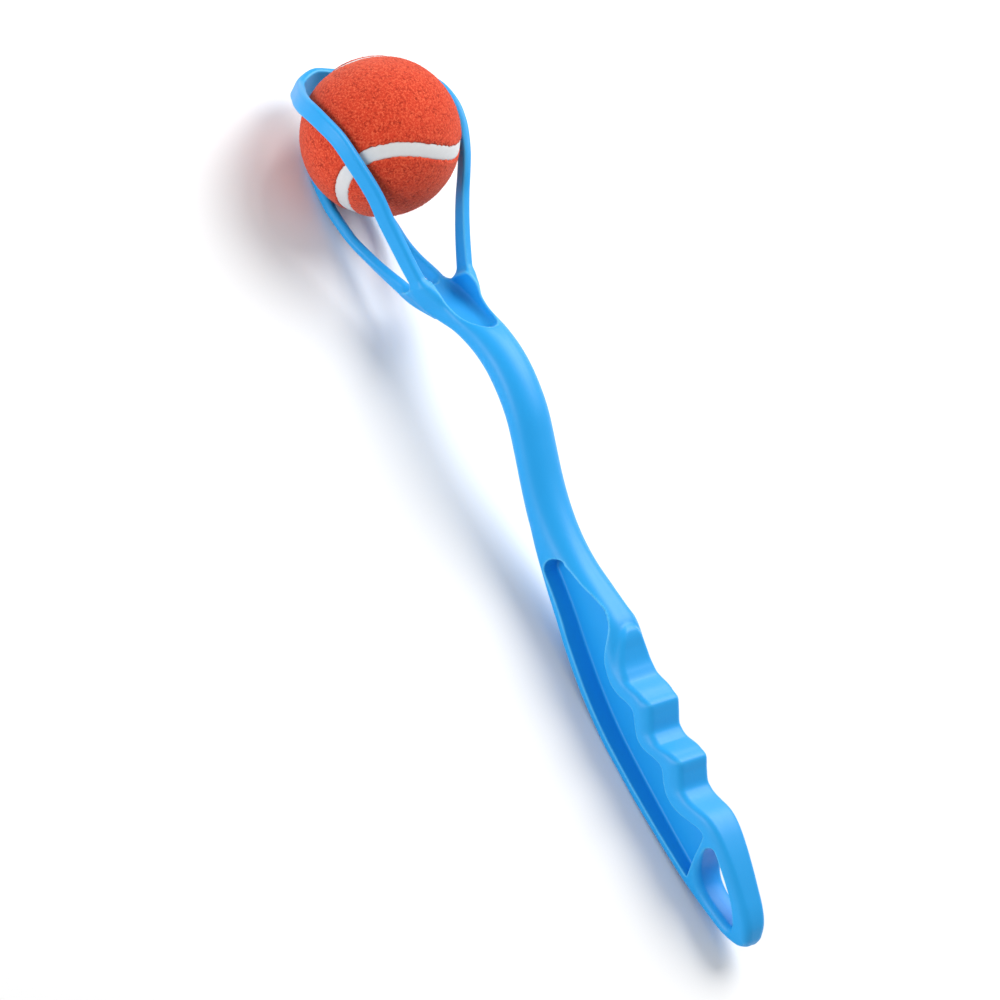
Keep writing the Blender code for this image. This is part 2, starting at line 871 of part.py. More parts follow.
def resting_tilt(points):
    """The slope of the line that the launcher rests on, under its middle."""
    middle = sum(point.x for point in points) / len(points)
    hull = []
    for point in sorted(points, key=lambda item: (item.x, item.z)):
        while len(hull) > 1:
            last = hull[-1] - hull[-2]
            new = point - hull[-2]
            if last.x * new.z - last.z * new.x > 0:
                break
            hull.pop()
        hull.append(point)
    for start, end in zip(hull, hull[1:]):
        if start.x <= middle <= end.x:
            return math.atan2(end.z - start.z, end.x - start.x)
    return 0.0


def lay_down(frame, moulding):
    """Turn the launcher onto its resting line, with the origin below its middle."""
    frame.rotation_euler = (0.0, resting_tilt(world_points(moulding)), 0.0)
    points = world_points(moulding)
    low = min(point.x for point in points)
    high = max(point.x for point in points)
    floor = min(point.z for point in points)
    frame.location = (-(low + high) / 2, 0.0, -floor)
    bpy.context.view_layer.update()


def main():
    clear_scene()
    group = make_collection(COLLECTION_NAME)
    guides = make_collection("guides")
    materials = {name: make_material(name) for name in MATERIALS}
    frame = bpy.data.objects.new("launcher_frame", None)
    group.objects.link(frame)
    moulding = build_moulding(group, guides, materials["blue_plastic"])
    moulding.parent = frame
    for item in guides.objects:
        item.parent = frame
    build_ball(group, frame, materials)
    lay_down(frame, moulding)


main()
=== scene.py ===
"""Dresses the tennis ball launcher for its picture: the moulding, the felt ball and a studio."""
import json
import math

import bmesh
import bpy
import numpy as np
from mathutils import Euler, Matrix, Vector, noise


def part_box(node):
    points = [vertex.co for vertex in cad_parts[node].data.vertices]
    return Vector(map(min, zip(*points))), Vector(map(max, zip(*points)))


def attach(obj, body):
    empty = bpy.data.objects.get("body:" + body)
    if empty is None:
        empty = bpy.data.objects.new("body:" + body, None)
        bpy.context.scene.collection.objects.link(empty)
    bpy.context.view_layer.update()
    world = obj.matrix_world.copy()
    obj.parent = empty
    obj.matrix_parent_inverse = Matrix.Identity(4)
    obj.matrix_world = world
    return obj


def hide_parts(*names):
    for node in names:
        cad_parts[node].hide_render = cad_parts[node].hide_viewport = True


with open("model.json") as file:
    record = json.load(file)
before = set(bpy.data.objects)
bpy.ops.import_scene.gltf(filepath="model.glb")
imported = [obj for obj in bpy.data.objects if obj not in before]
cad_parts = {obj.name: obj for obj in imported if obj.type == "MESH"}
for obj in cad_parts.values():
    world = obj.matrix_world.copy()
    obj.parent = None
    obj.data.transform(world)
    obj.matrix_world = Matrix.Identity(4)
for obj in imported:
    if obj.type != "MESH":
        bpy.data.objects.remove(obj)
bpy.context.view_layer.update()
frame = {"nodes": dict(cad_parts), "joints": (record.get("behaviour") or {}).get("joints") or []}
RELEASE = next(joint for joint in frame["joints"] if joint["name"] == "ball_release")

bl_info = {
    "name": "Tennis ball launcher",
    "version": (1, 0, 0),
    "blender": (4, 5, 0),
    "location": "View3D > Sidebar > Launcher",
    "description": "Builds a moulded tennis ball launcher with its ball, floor, light and camera",
    "category": "Object",
}

SEED = 20

# Where the moulding's own axes lie: the ball leaves along this direction in them
MOUTH_DIRECTION = Vector((-0.720, 0.0, 0.694))

# The photograph's view in those axes, and the turn and the middle of its picture
TOWARDS_CAMERA = Vector((0.0, -0.701, 0.713))
ACROSS_VIEW = Vector((0.0, 0.713, 0.701))
ROLL_ACROSS = 0.956
ROLL_ALONG = 0.293
AIM_ALONG = 0.1536
AIM_ACROSS = 0.0031
AIM_TOWARDS = 0.015
SENSOR = 36.0

# Where the lights stand, seen from the object, in the world's axes
KEY_DIRECTION = Vector((-0.35, 0.60, 0.80))
FILL_DIRECTION = Vector((-0.25, -1.0, 0.22))
KEY_DISTANCE = 1.3
KEY_DIAMETER = 1.1
FILL_DISTANCE = 1.6
FILL_DIAMETER = 0.6

# How finely and how far around the moulding its distances are worked out
FAR_AWAY = 0.02
BAR_REACH = 0.010
SLAB = 40
UNDER_BACK = 0.006
OVER_FRONT = 0.008
HANDLE_SIDE = 0.016
BEFORE_HANDLE = 0.012
HEAD_END_SHARE = 0.10
PADS_START_SHARE = 0.50
RECESS_START_SHARE = 0.38
SOFT_SIDE_SHARE = 0.35
SCOOP_CORNER_SHARE = 0.8
FLARE_START = 0.70
FLARE_LENGTH = 0.25
LOOP_FLARE = 0.12
TABLE_STEPS = 6
RIM_STEPS = 8
HOLE_STEPS = 10
BAR_STEPS = 40
FLANGE_PLACES = 90
END_PLACES = 26
TINY = 1e-9

# The ball's meshes and hairs
PANEL_ROWS = 300
PANEL_COLUMNS = 64
SEAM_ROWS = 720
SEAM_COLUMNS = 9
PANEL_POINT = 0.004
EDGE_PRESSED = 0.0005
HAIR_SCATTER = 0.0003
WELD = 0.000002

# Edges that turn within a millimetre get a painted highlight, a paler blue laid into the plastic's
# colour: one over the radius in metres
HIGHLIGHT_ATTRIBUTE = "edge"
HIGHLIGHT_START_TURN = 450.0
HIGHLIGHT_FULL_TURN = 1300.0

# Lines along the handle, the same as the solids': share of its length, share of its lift
BACK_LINE_SHARES = (
    (0.000, -0.040),
    (0.017, 0.008),
    (0.034, 0.056),
    (0.052, 0.115),
    (0.069, 0.176),
    (0.086, 0.219),
    (0.114, 0.276),
    (0.141, 0.316),
    (0.176, 0.343),
    (0.210, 0.351),
    (0.252, 0.336),
    (0.300, 0.309),
    (0.355, 0.283),
    (0.397, 0.284),
    (0.445, 0.309),
    (0.486, 0.324),
    (0.541, 0.332),
    (0.610, 0.353),
    (0.666, 0.388),
    (0.721, 0.440),
    (0.776, 0.500),
    (0.831, 0.563),
    (0.886, 0.632),
    (0.941, 0.719),
    (0.969, 0.769),
    (0.986, 0.813),
    (0.997, 0.856),
    (1.000, 0.880),
)

FRONT_LINE_SHARES = (
    (0.000, 0.184),
    (0.017, 0.224),
    (0.034, 0.253),
    (0.052, 0.300),
    (0.069, 0.360),
    (0.086, 0.419),
    (0.114, 0.483),
    (0.148, 0.524),
    (0.183, 0.543),
    (0.217, 0.545),
    (0.259, 0.525),
    (0.307, 0.503),
    (0.348, 0.501),
    (0.390, 0.520),
    (0.431, 0.560),
    (0.472, 0.625),
    (0.500, 0.673),
    (0.521, 0.701),
    (0.541, 0.701),
    (0.562, 0.683),
    (0.583, 0.675),
    (0.603, 0.704),
    (0.624, 0.763),
    (0.641, 0.784),
    (0.659, 0.763),
    (0.679, 0.741),
    (0.697, 0.781),
    (0.714, 0.847),
    (0.728, 0.867),
    (0.745, 0.843),
    (0.766, 0.827),
    (0.786, 0.877),
    (0.810, 0.952),
    (0.831, 0.984),
    (0.859, 1.000),
    (0.893, 1.005),
    (0.928, 1.001),
    (0.955, 0.993),
    (0.976, 0.971),
    (0.990, 0.936),
    (0.998, 0.911),
    (1.000, 0.896),
)

# Share of the length, share of the half width
HALF_WIDTH_SHARES = (
    (0.000, 1.382),
    (0.017, 1.236),
    (0.034, 1.082),
    (0.052, 0.982),
    (0.069, 0.918),
    (0.086, 0.891),
    (0.197, 0.891),
    (0.334, 0.900),
    (0.438, 0.900),
    (0.486, 0.936),
    (0.528, 0.982),
    (0.590, 1.000),
    (0.645, 0.982),
    (0.700, 0.945),
    (0.755, 0.900),
    (0.810, 0.836),
    (0.859, 0.755),
    (0.914, 0.673),
    (0.955, 0.627),
    (0.979, 0.573),
    (0.993, 0.455),
    (1.000, 0.309),
)

# Share of the length, and the section's corners: front across and up, back across and up
CORNER_SHARES = (
    (0.000, 0.20, 0.36, 0.55, 0.75),
    (0.034, 0.34, 0.55, 0.50, 0.72),
    (0.069, 0.64, 0.95, 0.74, 0.88),
    (0.114, 1.00, 1.00, 1.00, 1.00),
    (0.355, 1.00, 1.00, 1.00, 1.00),
    (0.390, 0.98, 1.00, 0.80, 0.80),
    (0.417, 0.91, 1.00, 0.60, 0.55),
    (0.445, 0.86, 0.91, 0.35, 0.30),
    (0.476, 0.80, 0.80, 0.22, 0.18),
    (0.528, 0.70, 0.60, 0.19, 0.14),
    (0.590, 0.36, 0.34, 0.19, 0.16),
    (0.790, 0.38, 0.34, 0.20, 0.16),
    (0.900, 0.48, 0.42, 0.26, 0.20),
    (0.960, 0.55, 0.50, 0.45, 0.36),
    (0.990, 0.70, 0.72, 0.70, 0.72),
    (1.000, 0.85, 0.85, 0.85, 0.85),
)

# The side recess's rim, where it is cut into the grip
RIM_LINE_SHARES = (
    (0.426, 0.492),
    (0.438, 0.517),
    (0.459, 0.560),
    (0.479, 0.608),
    (0.500, 0.651),
    (0.517, 0.667),
    (0.531, 0.661),
    (0.548, 0.632),
    (0.566, 0.600),
    (0.583, 0.592),
    (0.600, 0.597),
    (0.617, 0.627),
    (0.631, 0.672),
    (0.643, 0.692),
    (0.659, 0.677),
    (0.679, 0.661),
    (0.697, 0.680),
    (0.714, 0.736),
    (0.729, 0.765),
    (0.748, 0.745),
    (0.769, 0.736),
    (0.790, 0.765),
    (0.810, 0.833),
    (0.824, 0.883),
    (0.834, 0.892),
    (0.845, 0.848),
    (0.859, 0.776),
    (0.872, 0.719),
    (0.881, 0.680),
    (0.891, 0.638),
)

# The hanging hole, a little narrower than the solid's
HOLE_OUTLINE_SHARES = (
    (0.853, 0.903),
    (0.860, 0.934),
    (0.893, 0.934),
    (0.931, 0.924),
    (0.952, 0.900),
    (0.964, 0.867),
    (0.962, 0.838),
    (0.941, 0.798),
    (0.917, 0.760),
    (0.897, 0.747),
    (0.879, 0.768),
    (0.864, 0.820),
    (0.854, 0.867),
)

# The three finger pads: share of the length, share of the lift, share of the half width
PAD_SHARES = (
    (
        (0.5255, 0.709, 0.20),
        (0.533, 0.724, 0.33),
        (0.545, 0.724, 0.52),
        (0.562, 0.707, 0.68),
        (0.579, 0.695, 0.78),
        (0.593, 0.695, 0.80),
        (0.603, 0.704, 0.80),
    ),
    (
        (0.632, 0.790, 0.80),
        (0.643, 0.806, 0.80),
        (0.660, 0.785, 0.80),
        (0.678, 0.759, 0.80),
        (0.688, 0.762, 0.79),
        (0.696, 0.782, 0.78),
    ),
    (
        (0.718, 0.860, 0.76),
        (0.730, 0.887, 0.76),
        (0.748, 0.864, 0.76),
        (0.766, 0.843, 0.75),
        (0.776, 0.846, 0.74),
        (0.784, 0.864, 0.73),
    ),
)

# The scoop, its ends fitted further than the solid's: length, floor and width, as shares
SCOOP_SHARES = (
    (-0.040, -0.108, 0.50),
    (-0.020, -0.044, 0.72),
    (-0.004, 0.008, 0.88),
    (0.010, 0.053, 0.96),
    (0.024, 0.098, 0.93),
    (0.038, 0.150, 0.85),
    (0.052, 0.200, 0.77),
    (0.065, 0.250, 0.65),
    (0.074, 0.288, 0.47),
    (0.079, 0.315, 0.27),
    (0.081, 0.335, 0.08),
)

# The bars' middle lines, along, up and across, as shares of the bar's seat on the ball. In the
# fork's tables the first is a share of the fork distance. The ring's tip and the loop's root are
# fitted further than the solids'
RING_FORK_SHARES = (
    (1.190, 0.362, 0.223),
    (1.016, 0.295, 0.370),
    (0.889, 0.289, 0.449),
    (0.762, 0.300, 0.518),
    (0.635, 0.318, 0.592),
    (0.508, 0.344, 0.671),
)

RING_SEAT_SHARES = (
    (0.695, 0.385, 0.750),
    (0.463, 0.402, 0.842),
    (0.232, 0.391, 0.923),
    (0.058, 0.365, 0.967),
    (-0.116, 0.307, 0.996),
    (-0.318, 0.174, 1.010),
    (-0.463, 0.026, 0.973),
    (-0.579, -0.156, 0.886),
    (-0.671, -0.336, 0.750),
    (-0.740, -0.505, 0.585),
    (-0.785, -0.650, 0.445),
    (-0.818, -0.752, 0.325),
    (-0.835, -0.820, 0.175),
    (-0.838, -0.848, 0.000),
)

LOOP_FORK_SHARES = (
    (1.190, 0.262, 0.190),
    (1.063, 0.040, 0.258),
    (0.952, -0.119, 0.283),
    (0.825, -0.312, 0.294),
    (0.698, -0.473, 0.317),
    (0.571, -0.602, 0.350),
)

LOOP_SEAT_SHARES = (
    (0.700, -0.758, 0.350),
    (0.522, -0.832, 0.328),
    (0.346, -0.898, 0.294),
    (0.173, -0.958, 0.244),
    (0.029, -0.988, 0.183),
    (-0.084, -0.997, 0.098),
    (-0.123, -0.998, 0.000),
)


def length_prop(name, description, default):
    return bpy.props.FloatProperty(
        name=name, description=description, default=default, unit="LENGTH")


def number_prop(name, description, default):
    return bpy.props.FloatProperty(name=name, description=description, default=default)


def colour_prop(name, description, default):
    return bpy.props.FloatVectorProperty(
        name=name, description=description, default=default, subtype="COLOR", size=3)


class LauncherSizes(bpy.types.PropertyGroup):
    """Sizes of the blue moulding."""

    fork_distance: length_prop(
        "Fork distance", "From the ball's middle to the handle's start", 0.063)
    handle_length: length_prop("Handle length", "From the fork to the tail's end", 0.290)
    handle_lift: length_prop(
        "Handle lift", "Height of the tail's front line over the ball's middle", 0.075)
    handle_half_width: length_prop("Half width", "Half of the grip's width", 0.011)
    tail_end_height: length_prop("Tail end", "Least depth of the tail", 0.0022)
    web_thickness: length_prop("Web", "Wall left between the two side recesses", 0.003)
    back_flange: length_prop("Back flange", "Wall behind the side recess", 0.0038)
    recess_end: length_prop("Recess end", "Length of the recess's round end", 0.0042)
    recess_floor_round: length_prop(
        "Recess floor rounding", "Rounding where the web meets its walls", 0.0009)
    recess_rim_round: length_prop("Recess rim rounding", "Rounding of the recess's rim", 0.00045)
    hole_round: length_prop("Hole rounding", "Rounding of the hanging hole's front edge", 0.0007)
    hole_soft_round: length_prop("Hole soft rounding", "Rounding of the hole's back edge", 0.0034)
    pad_depth: length_prop("Pad depth", "How deep a finger pad's solid goes", 0.004)
    pad_round: length_prop("Pad rounding", "Rounding of a finger pad's edge", 0.0022)
    pad_end_round: length_prop("Pad end rounding", "Rounding of a finger pad's two ends", 0.0038)
    pad_blend: length_prop("Pad blend", "Fillet where a finger pad meets the grip", 0.0022)
    scoop_round: length_prop("Scoop rounding", "Rounding along the scoop's floor", 0.0035)
    scoop_rim_round: length_prop("Scoop rim rounding", "Rounding of the scoop's rim", 0.0006)
    ring_thickness: length_prop("Ring thickness", "Thickness of the ring's bar at the fork", 0.004)
    ring_hold_thickness: length_prop(
        "Ring hold thickness", "Thickness of the ring's bar at the ball", 0.0034)
    ring_height: length_prop("Ring height", "Height of the ring's bar at its sides", 0.0069)
    ring_tip_height: length_prop("Ring tip height", "Height of the ring's bar at its tip", 0.0140)
    ring_turn_growth: length_prop(
        "Ring growth", "Height that the ring's bar gains towards its tip", 0.0015)
    tip_reach_share: number_prop("Tip reach", "How far the taller tip reaches to each side", 0.42)
    ring_outer_round: length_prop("Ring outer rounding", "Outer corners of the ring's bar", 0.0019)
    ring_inner_round: length_prop("Ring inner rounding", "Inner corners of the ring's bar", 0.0008)
    loop_thickness: length_prop("Loop thickness", "Thickness of the lower loop's bar", 0.0043)
    loop_height: length_prop("Loop height", "Height of the lower loop's bar", 0.0052)
    loop_round: length_prop("Loop rounding", "Corners of the lower loop's bar", 0.0018)
    fork_blend: length_prop("Fork blend", "Fillet where the ring grows out of the handle", 0.0034)
    loop_blend: length_prop("Loop blend", "Fillet where the loop grows out of the handle", 0.0026)
    least_blend: length_prop(
        "Least blend", "What is left of these fillets inside the handle", 0.0004)
    fork_fade: length_prop("Fork fade", "Length over which these fillets fade in the handle", 0.012)
    bar_blend: length_prop("Bar blend", "Fillet between the ring's and the loop's bars", 0.0030)
    end_round: length_prop("End rounding", "Rounding of the handle's two ends", 0.0010)
    tail_round: length_prop("Tail rounding", "Rounding of the tail's end", 0.0030)
    bar_step: length_prop("Bar step", "Distance between two places along a bar", 0.0003)
    mesh_step: length_prop("Mesh step", "Size of the mesh's faces", 0.0005)


class BallSizes(bpy.types.PropertyGroup):
    """Sizes of the ball and its felt."""

    diameter: length_prop("Diameter", "Ball's diameter over the pressed felt", 0.0645)
    felt_thickness: length_prop("Felt", "Thickness of the felt panels", 0.0032)
    gap: length_prop("Gap", "Gap between a ball's part and its neighbour", 0.0003)
    seam_width: length_prop("Seam width", "Width of the rubber seam", 0.0058)
    seam_sink: length_prop("Seam sink", "How far the seam lies below the felt", 0.0003)
    seam_wave_share: number_prop("Seam wave", "How strongly the seam winds", 0.132)
    turn: bpy.props.FloatVectorProperty(
        name="Turn", description="How the ball lies in the cup", subtype="EULER",
        default=[math.radians(angle) for angle in (-76.0, -20.7, 141.9)])
    nap: length_prop("Nap", "Height of the loose nap over the felt", 0.00022)
    nap_wave: length_prop("Nap unevenness", "How far the nap's height varies", 0.00014)
    ragged: length_prop("Ragged edge", "How far a panel's cut edge wanders", 0.00065)
    hairs: bpy.props.IntProperty(
        name="Hairs", description="Loose fibres on each panel", default=9000)
    hair_length: length_prop("Hair length", "Length of a loose fibre", 0.0010)
    hair_width: length_prop("Hair width", "Thickness of a loose fibre", 0.00007)


class Finishes(bpy.types.PropertyGroup):
    """Colours of the surfaces."""

    plastic: colour_prop("Plastic", "Sky blue plastic", (0.011, 0.345, 0.800))
    # Painted highlight: the paler blue that sharp convex edges are lightened towards
    plastic_edge_highlight: colour_prop("Plastic edges", "Paler blue of thin edges", (0.160, 0.640, 0.930))
    felt: colour_prop("Felt", "Orange red felt", (0.640, 0.050, 0.020))
    felt_light: colour_prop("Felt fibres", "Lighter fibres in the felt", (0.860, 0.150, 0.065))
    # Painted shade: the dark red laid into the felt's hollows
    felt_hollow_shade: colour_prop("Felt hollows", "Darker hollows in the felt", (0.250, 0.010, 0.004))
    seam: colour_prop("Seam", "Off-white rubber", (0.660, 0.670, 0.680))
    rubber: colour_prop("Core rubber", "Dark rubber", (0.030, 0.030, 0.032))
    floor: colour_prop("Floor", "Pale floor", (0.93, 0.93, 0.93))


class StudioSizes(bpy.types.PropertyGroup):
    """The floor, the lights and the camera."""

    floor_side: length_prop("Floor", "Side of the square floor", 8.0)
    camera_distance: length_prop("Camera distance", "From the camera to the object", 6.0)
    view_width: length_prop("View width", "Width of the picture at the object", 0.4)
    sky: number_prop("Sky", "Brightness of the white surroundings", 0.50)
    key_power: bpy.props.FloatProperty(
        name="Key light", description="Power of the large light behind", default=18.0, unit="POWER")
    fill_power: bpy.props.FloatProperty(
        name="Fill light", description="Power of the low light on the near side",
        default=11.0, unit="POWER")


class Wire:
    """A shader socket. Sums and products on it add Math nodes."""

    def __init__(self, graph, socket):
        self.graph = graph
        self.socket = socket

    def math(self, operation, first, second):
        return self.graph.node("ShaderNodeMath", {"operation": operation}, {0: first, 1: second})

    def __add__(self, other):
        return self.math("ADD", self, other)

    def __radd__(self, other):
        return self.math("ADD", other, self)

    def __sub__(self, other):
        return self.math("SUBTRACT", self, other)

    def __rsub__(self, other):
        return self.math("SUBTRACT", other, self)

    def __mul__(self, other):
        return self.math("MULTIPLY", self, other)

    def __rmul__(self, other):
        return self.math("MULTIPLY", other, self)

    def __abs__(self):
        return self.math("ABSOLUTE", self, 0.0)


class Graph:
    """The nodes of one material."""

    def __init__(self, name):
        self.material = bpy.data.materials.new(name)
        self.material.use_nodes = True
        self.tree = self.material.node_tree
        self.shader = self.tree.nodes["Principled BSDF"]

    def put(self, socket, value):
        if isinstance(value, Wire):
            self.tree.links.new(value.socket, socket)
        else:
            socket.default_value = value

    def node(self, kind, settings, inputs, output=0):
        """Adds a node: its settings first, then the values or links of its sockets."""
        node = self.tree.nodes.new(kind)
        for name, value in settings.items():
            setattr(node, name, value)
        for name, value in inputs.items():
            self.put(node.inputs[name], value)
        return Wire(self, node.outputs[output])

    def place(self):
        return self.node("ShaderNodeTexCoord", {}, {}, output="Object")

    def noise(self, scale, detail=3.0, roughness=0.55, place=None):
        inputs = {
            "Vector": place or self.place(), "Scale": scale, "Detail": detail,
            "Roughness": roughness,
        }
        return self.node("ShaderNodeTexNoise", {}, inputs)

    def mix(self, factor, first, second):
        """A colour between two."""
        settings = {"data_type": "RGBA"}
        inputs = {"Factor": factor, 6: first, 7: second}
        return self.node("ShaderNodeMix", settings, inputs, output=2)

    def between(self, value, low, high):
        """0 below low, 1 above high, and a smooth rise between them."""
        settings = {"interpolation_type": "SMOOTHSTEP"}
        inputs = {"Value": value, "From Min": low, "From Max": high}
        return self.node("ShaderNodeMapRange", settings, inputs)

    def bump(self, height, distance, strength=1.0, normal=None):
        inputs = {"Height": height, "Distance": distance, "Strength": strength}
        if normal:
            inputs["Normal"] = normal
        return self.node("ShaderNodeBump", {}, inputs)

    def finish(self, inputs):
        for name, value in inputs.items():
            self.put(self.shader.inputs[name], value)
        return self.material


def opaque(colour):
    return (*colour, 1.0)


def tint(colour, share):
    """A colour, lighter or darker by a share."""
    return (*(min(part * share, 1.0) for part in colour), 1.0)


def plastic_material(finishes):
    """Satin moulded plastic: faint clouds in the colour, a fine eroded texture, the thin
    line where the mould's halves meet, and a few rubs."""
    graph = Graph("launcher_plastic")
    colour = finishes.plastic
    place = graph.place()
    clouds = graph.noise(22.0, 4.0, place=place)
    base = graph.mix(clouds, tint(colour, 0.965), tint(colour, 1.03))
    # Painted highlight: sharp convex edges are lightened towards a paler blue in the colour
    edge = graph.node("ShaderNodeAttribute", {"attribute_name": HIGHLIGHT_ATTRIBUTE}, {}, output="Fac")
    base = graph.mix(edge * 0.35, base, opaque(finishes.plastic_edge_highlight))
    side = graph.node("ShaderNodeSeparateXYZ", {}, {"Vector": place}, output="Y")
    line = 1 - graph.between(abs(side), 0.00004, 0.00016)
    grain = graph.noise(5200.0, 2.0, place=place)
    drift = graph.noise(260.0, 2.0, place=place)
    stretched = graph.node(
        "ShaderNodeMapping", {}, {"Vector": place, "Scale": (1.0, 14.0, 14.0)})
    rubs = graph.between(graph.noise(150.0, 5.0, place=stretched), 0.68, 0.76)
    texture = graph.bump(grain, 0.00002, 0.35)
    waves = graph.bump(drift, 0.00012, 0.25, normal=texture)
    parting = graph.bump(line, 0.00005, 0.35, normal=waves)
    roughness = 0.37 + 0.06 * drift + 0.05 * grain - 0.05 * rubs
    return graph.finish({
        "Base Color": base, "Roughness": roughness, "Normal": parting,
        "IOR": 1.46, "Specular IOR Level": 0.40,
    })


def felt_material(finishes):
    """Napped felt: tangled fibres, lighter at their tips, and darker in the hollows with painted
    shade.
    """
    graph = Graph("ball_felt")
    place = graph.place()
    warped = graph.noise(340.0, 4.0, 0.7, place=place)
    fibres = graph.noise(1150.0, 4.0, 0.75, place=place)
    patches = graph.noise(95.0, 2.0, place=place)
    light = graph.between(fibres, 0.48, 0.64)
    # Painted shade: darker where the bump's height is low, in the felt's hollows
    hollow_shade = 1 - graph.between(warped * 0.35 + fibres * 0.65, 0.36, 0.50)
    base = graph.mix(patches, tint(finishes.felt, 0.93), tint(finishes.felt, 1.06))
    lit = graph.mix(light * 0.75, base, opaque(finishes.felt_light))
    final = graph.mix(hollow_shade * 0.80, lit, opaque(finishes.felt_hollow_shade))
    tangle = graph.bump(warped, 0.00045, 0.70)
    strands = graph.bump(fibres, 0.00025, 0.85, normal=tangle)
    return graph.finish({
        "Base Color": final, "Roughness": 0.95, "Normal": strands,
        "Specular IOR Level": 0.12, "Sheen Weight": 0.22, "Sheen Roughness": 0.55,
        "Sheen Tint": (1.0, 0.62, 0.48, 1.0),
    })


def seam_material(finishes):
    """Off-white rubber with a faint soiled mottle."""
    graph = Graph("ball_seam")
    place = graph.place()
    mottle = graph.noise(420.0, 4.0, place=place)
    fine = graph.noise(2600.0, 3.0, place=place)
    base = graph.mix(mottle, tint(finishes.seam, 0.94), tint(finishes.seam, 1.06))
    return graph.finish({
        "Base Color": base, "Roughness": 0.72 + 0.12 * mottle,
        "Normal": graph.bump(fine, 0.00008, 0.6), "Specular IOR Level": 0.3,
    })


def rubber_material(finishes):
    """Dark moulded rubber with a matt bloom."""
    graph = Graph("ball_rubber")
    bloom = graph.noise(160.0, 4.0)
    base = graph.mix(bloom, tint(finishes.rubber, 0.8), tint(finishes.rubber, 1.5))
    fine = graph.noise(2200.0, 3.0)
    return graph.finish({
        "Base Color": base, "Roughness": 0.68 + 0.15 * bloom,
        "Normal": graph.bump(fine, 0.00008, 0.5),
    })


def floor_material(finishes):
    """Pale paper sweep."""
    graph = Graph("studio_floor")
    tooth = graph.noise(900.0, 3.0)
    base = graph.mix(tooth, tint(finishes.floor, 0.99), tint(finishes.floor, 1.01))
    return graph.finish({"Base Color": base, "Roughness": 0.9, "Specular IOR Level": 0.1})


def ball_middle():
    """The ball's middle, from the boxes of its two felt panels."""
    lows, highs = zip(*(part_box(f"felt_panel_{letter}") for letter in "ab"))
    low = Vector([min(corner[axis] for corner in lows) for axis in range(3)])
    high = Vector([max(corner[axis] for corner in highs) for axis in range(3)])
    return (low + high) / 2


def mould_matrix():
    """From the moulding's own axes, with the ball's middle as origin, to the world."""
    leaves = Vector(RELEASE["axis"])
    tilt = math.atan2(MOUTH_DIRECTION.z, MOUTH_DIRECTION.x) - math.atan2(leaves.z, leaves.x)
    return Matrix.Translation(ball_middle()) @ Matrix.Rotation(tilt, 4, "Y")


def catmull_rom(before, start, end, after, t):
    return 0.5 * (
        2 * start
        + (end - before) * t
        + (2 * before - 5 * start + 4 * end - after) * t ** 2
        + (3 * start - before - 3 * end + after) * t ** 3
    )


def smooth_path(points, steps, closed=False):
    """A finer path through the points, as an array with steps rows to each span."""
    points = np.array(points, dtype=float)
    count = len(points)
    spans = count if closed else count - 1
    rows = []
    for index in range(spans):
        numbers = [index + shift for shift in (-1, 0, 1, 2)]
        if closed:
            four = [points[number % count] for number in numbers]
        else:
            four = [points[min(max(number, 0), count - 1)] for number in numbers]
        rows.extend(catmull_rom(*four, step / steps) for step in range(steps))
    if not closed:
        rows.append(points[-1])
    return np.array(rows)


def table_line(table, places, column=1):
    """A table's column at places along its first column, on a smooth line."""
    rows = np.array(table)
    at = rows[:, 0]
    value = rows[:, column]
    ahead = np.minimum(np.arange(len(at)) + 1, len(at) - 1)
    behind = np.maximum(np.arange(len(at)) - 1, 0)
    slope = (value[ahead] - value[behind]) / (at[ahead] - at[behind])
    index = np.clip(np.searchsorted(at, places) - 1, 0, len(at) - 2)
    width = at[index + 1] - at[index]
    t = np.clip((places - at[index]) / width, 0.0, 1.0)
    return (
        value[index] * (2 * t ** 3 - 3 * t ** 2 + 1)
        + slope[index] * width * (t ** 3 - 2 * t ** 2 + t)
        + value[index + 1] * (3 * t ** 2 - 2 * t ** 3)
        + slope[index + 1] * width * (t ** 3 - t ** 2)
    )


def smooth_step(share):
    """0 up to 0, 1 from 1 on, and a smooth rise between them."""
    share = np.clip(share, 0.0, 1.0)
    return share * share * (3 - 2 * share)


def round_union(first, second, radius):
    """Two solids joined, with a fillet between them."""
    inner = np.maximum(radius, np.minimum(first, second))
    return inner - np.hypot(np.maximum(radius - first, 0), np.maximum(radius - second, 0))


def round_overlap(first, second, radius):
    """What two solids share, with a rounded edge."""
    return -round_union(-first, -second, radius)


def outline_distance(x, up, outline):
    """Distance of points in the mould's middle plane to an outline, negative inside it."""
    best = np.full(np.broadcast(x, up).shape, np.inf)
    inside = np.zeros(best.shape, dtype=bool)
    for start, end in zip(outline, np.roll(outline, -1, axis=0)):
        span = end - start
        length = max(float(span @ span), 1e-18)
        share = np.clip(((x - start[0]) * span[0] + (up - start[1]) * span[1]) / length, 0, 1)
        gap = np.hypot(x - start[0] - share * span[0], up - start[1] - share * span[1])
        best = np.minimum(best, gap)
        if start[1] != end[1]:
            crossed = (start[1] > up) != (end[1] > up)
            reach = start[0] + (up - start[1]) * span[0] / span[1]
            inside ^= crossed & (x < reach)
    return np.where(inside, -best, best)


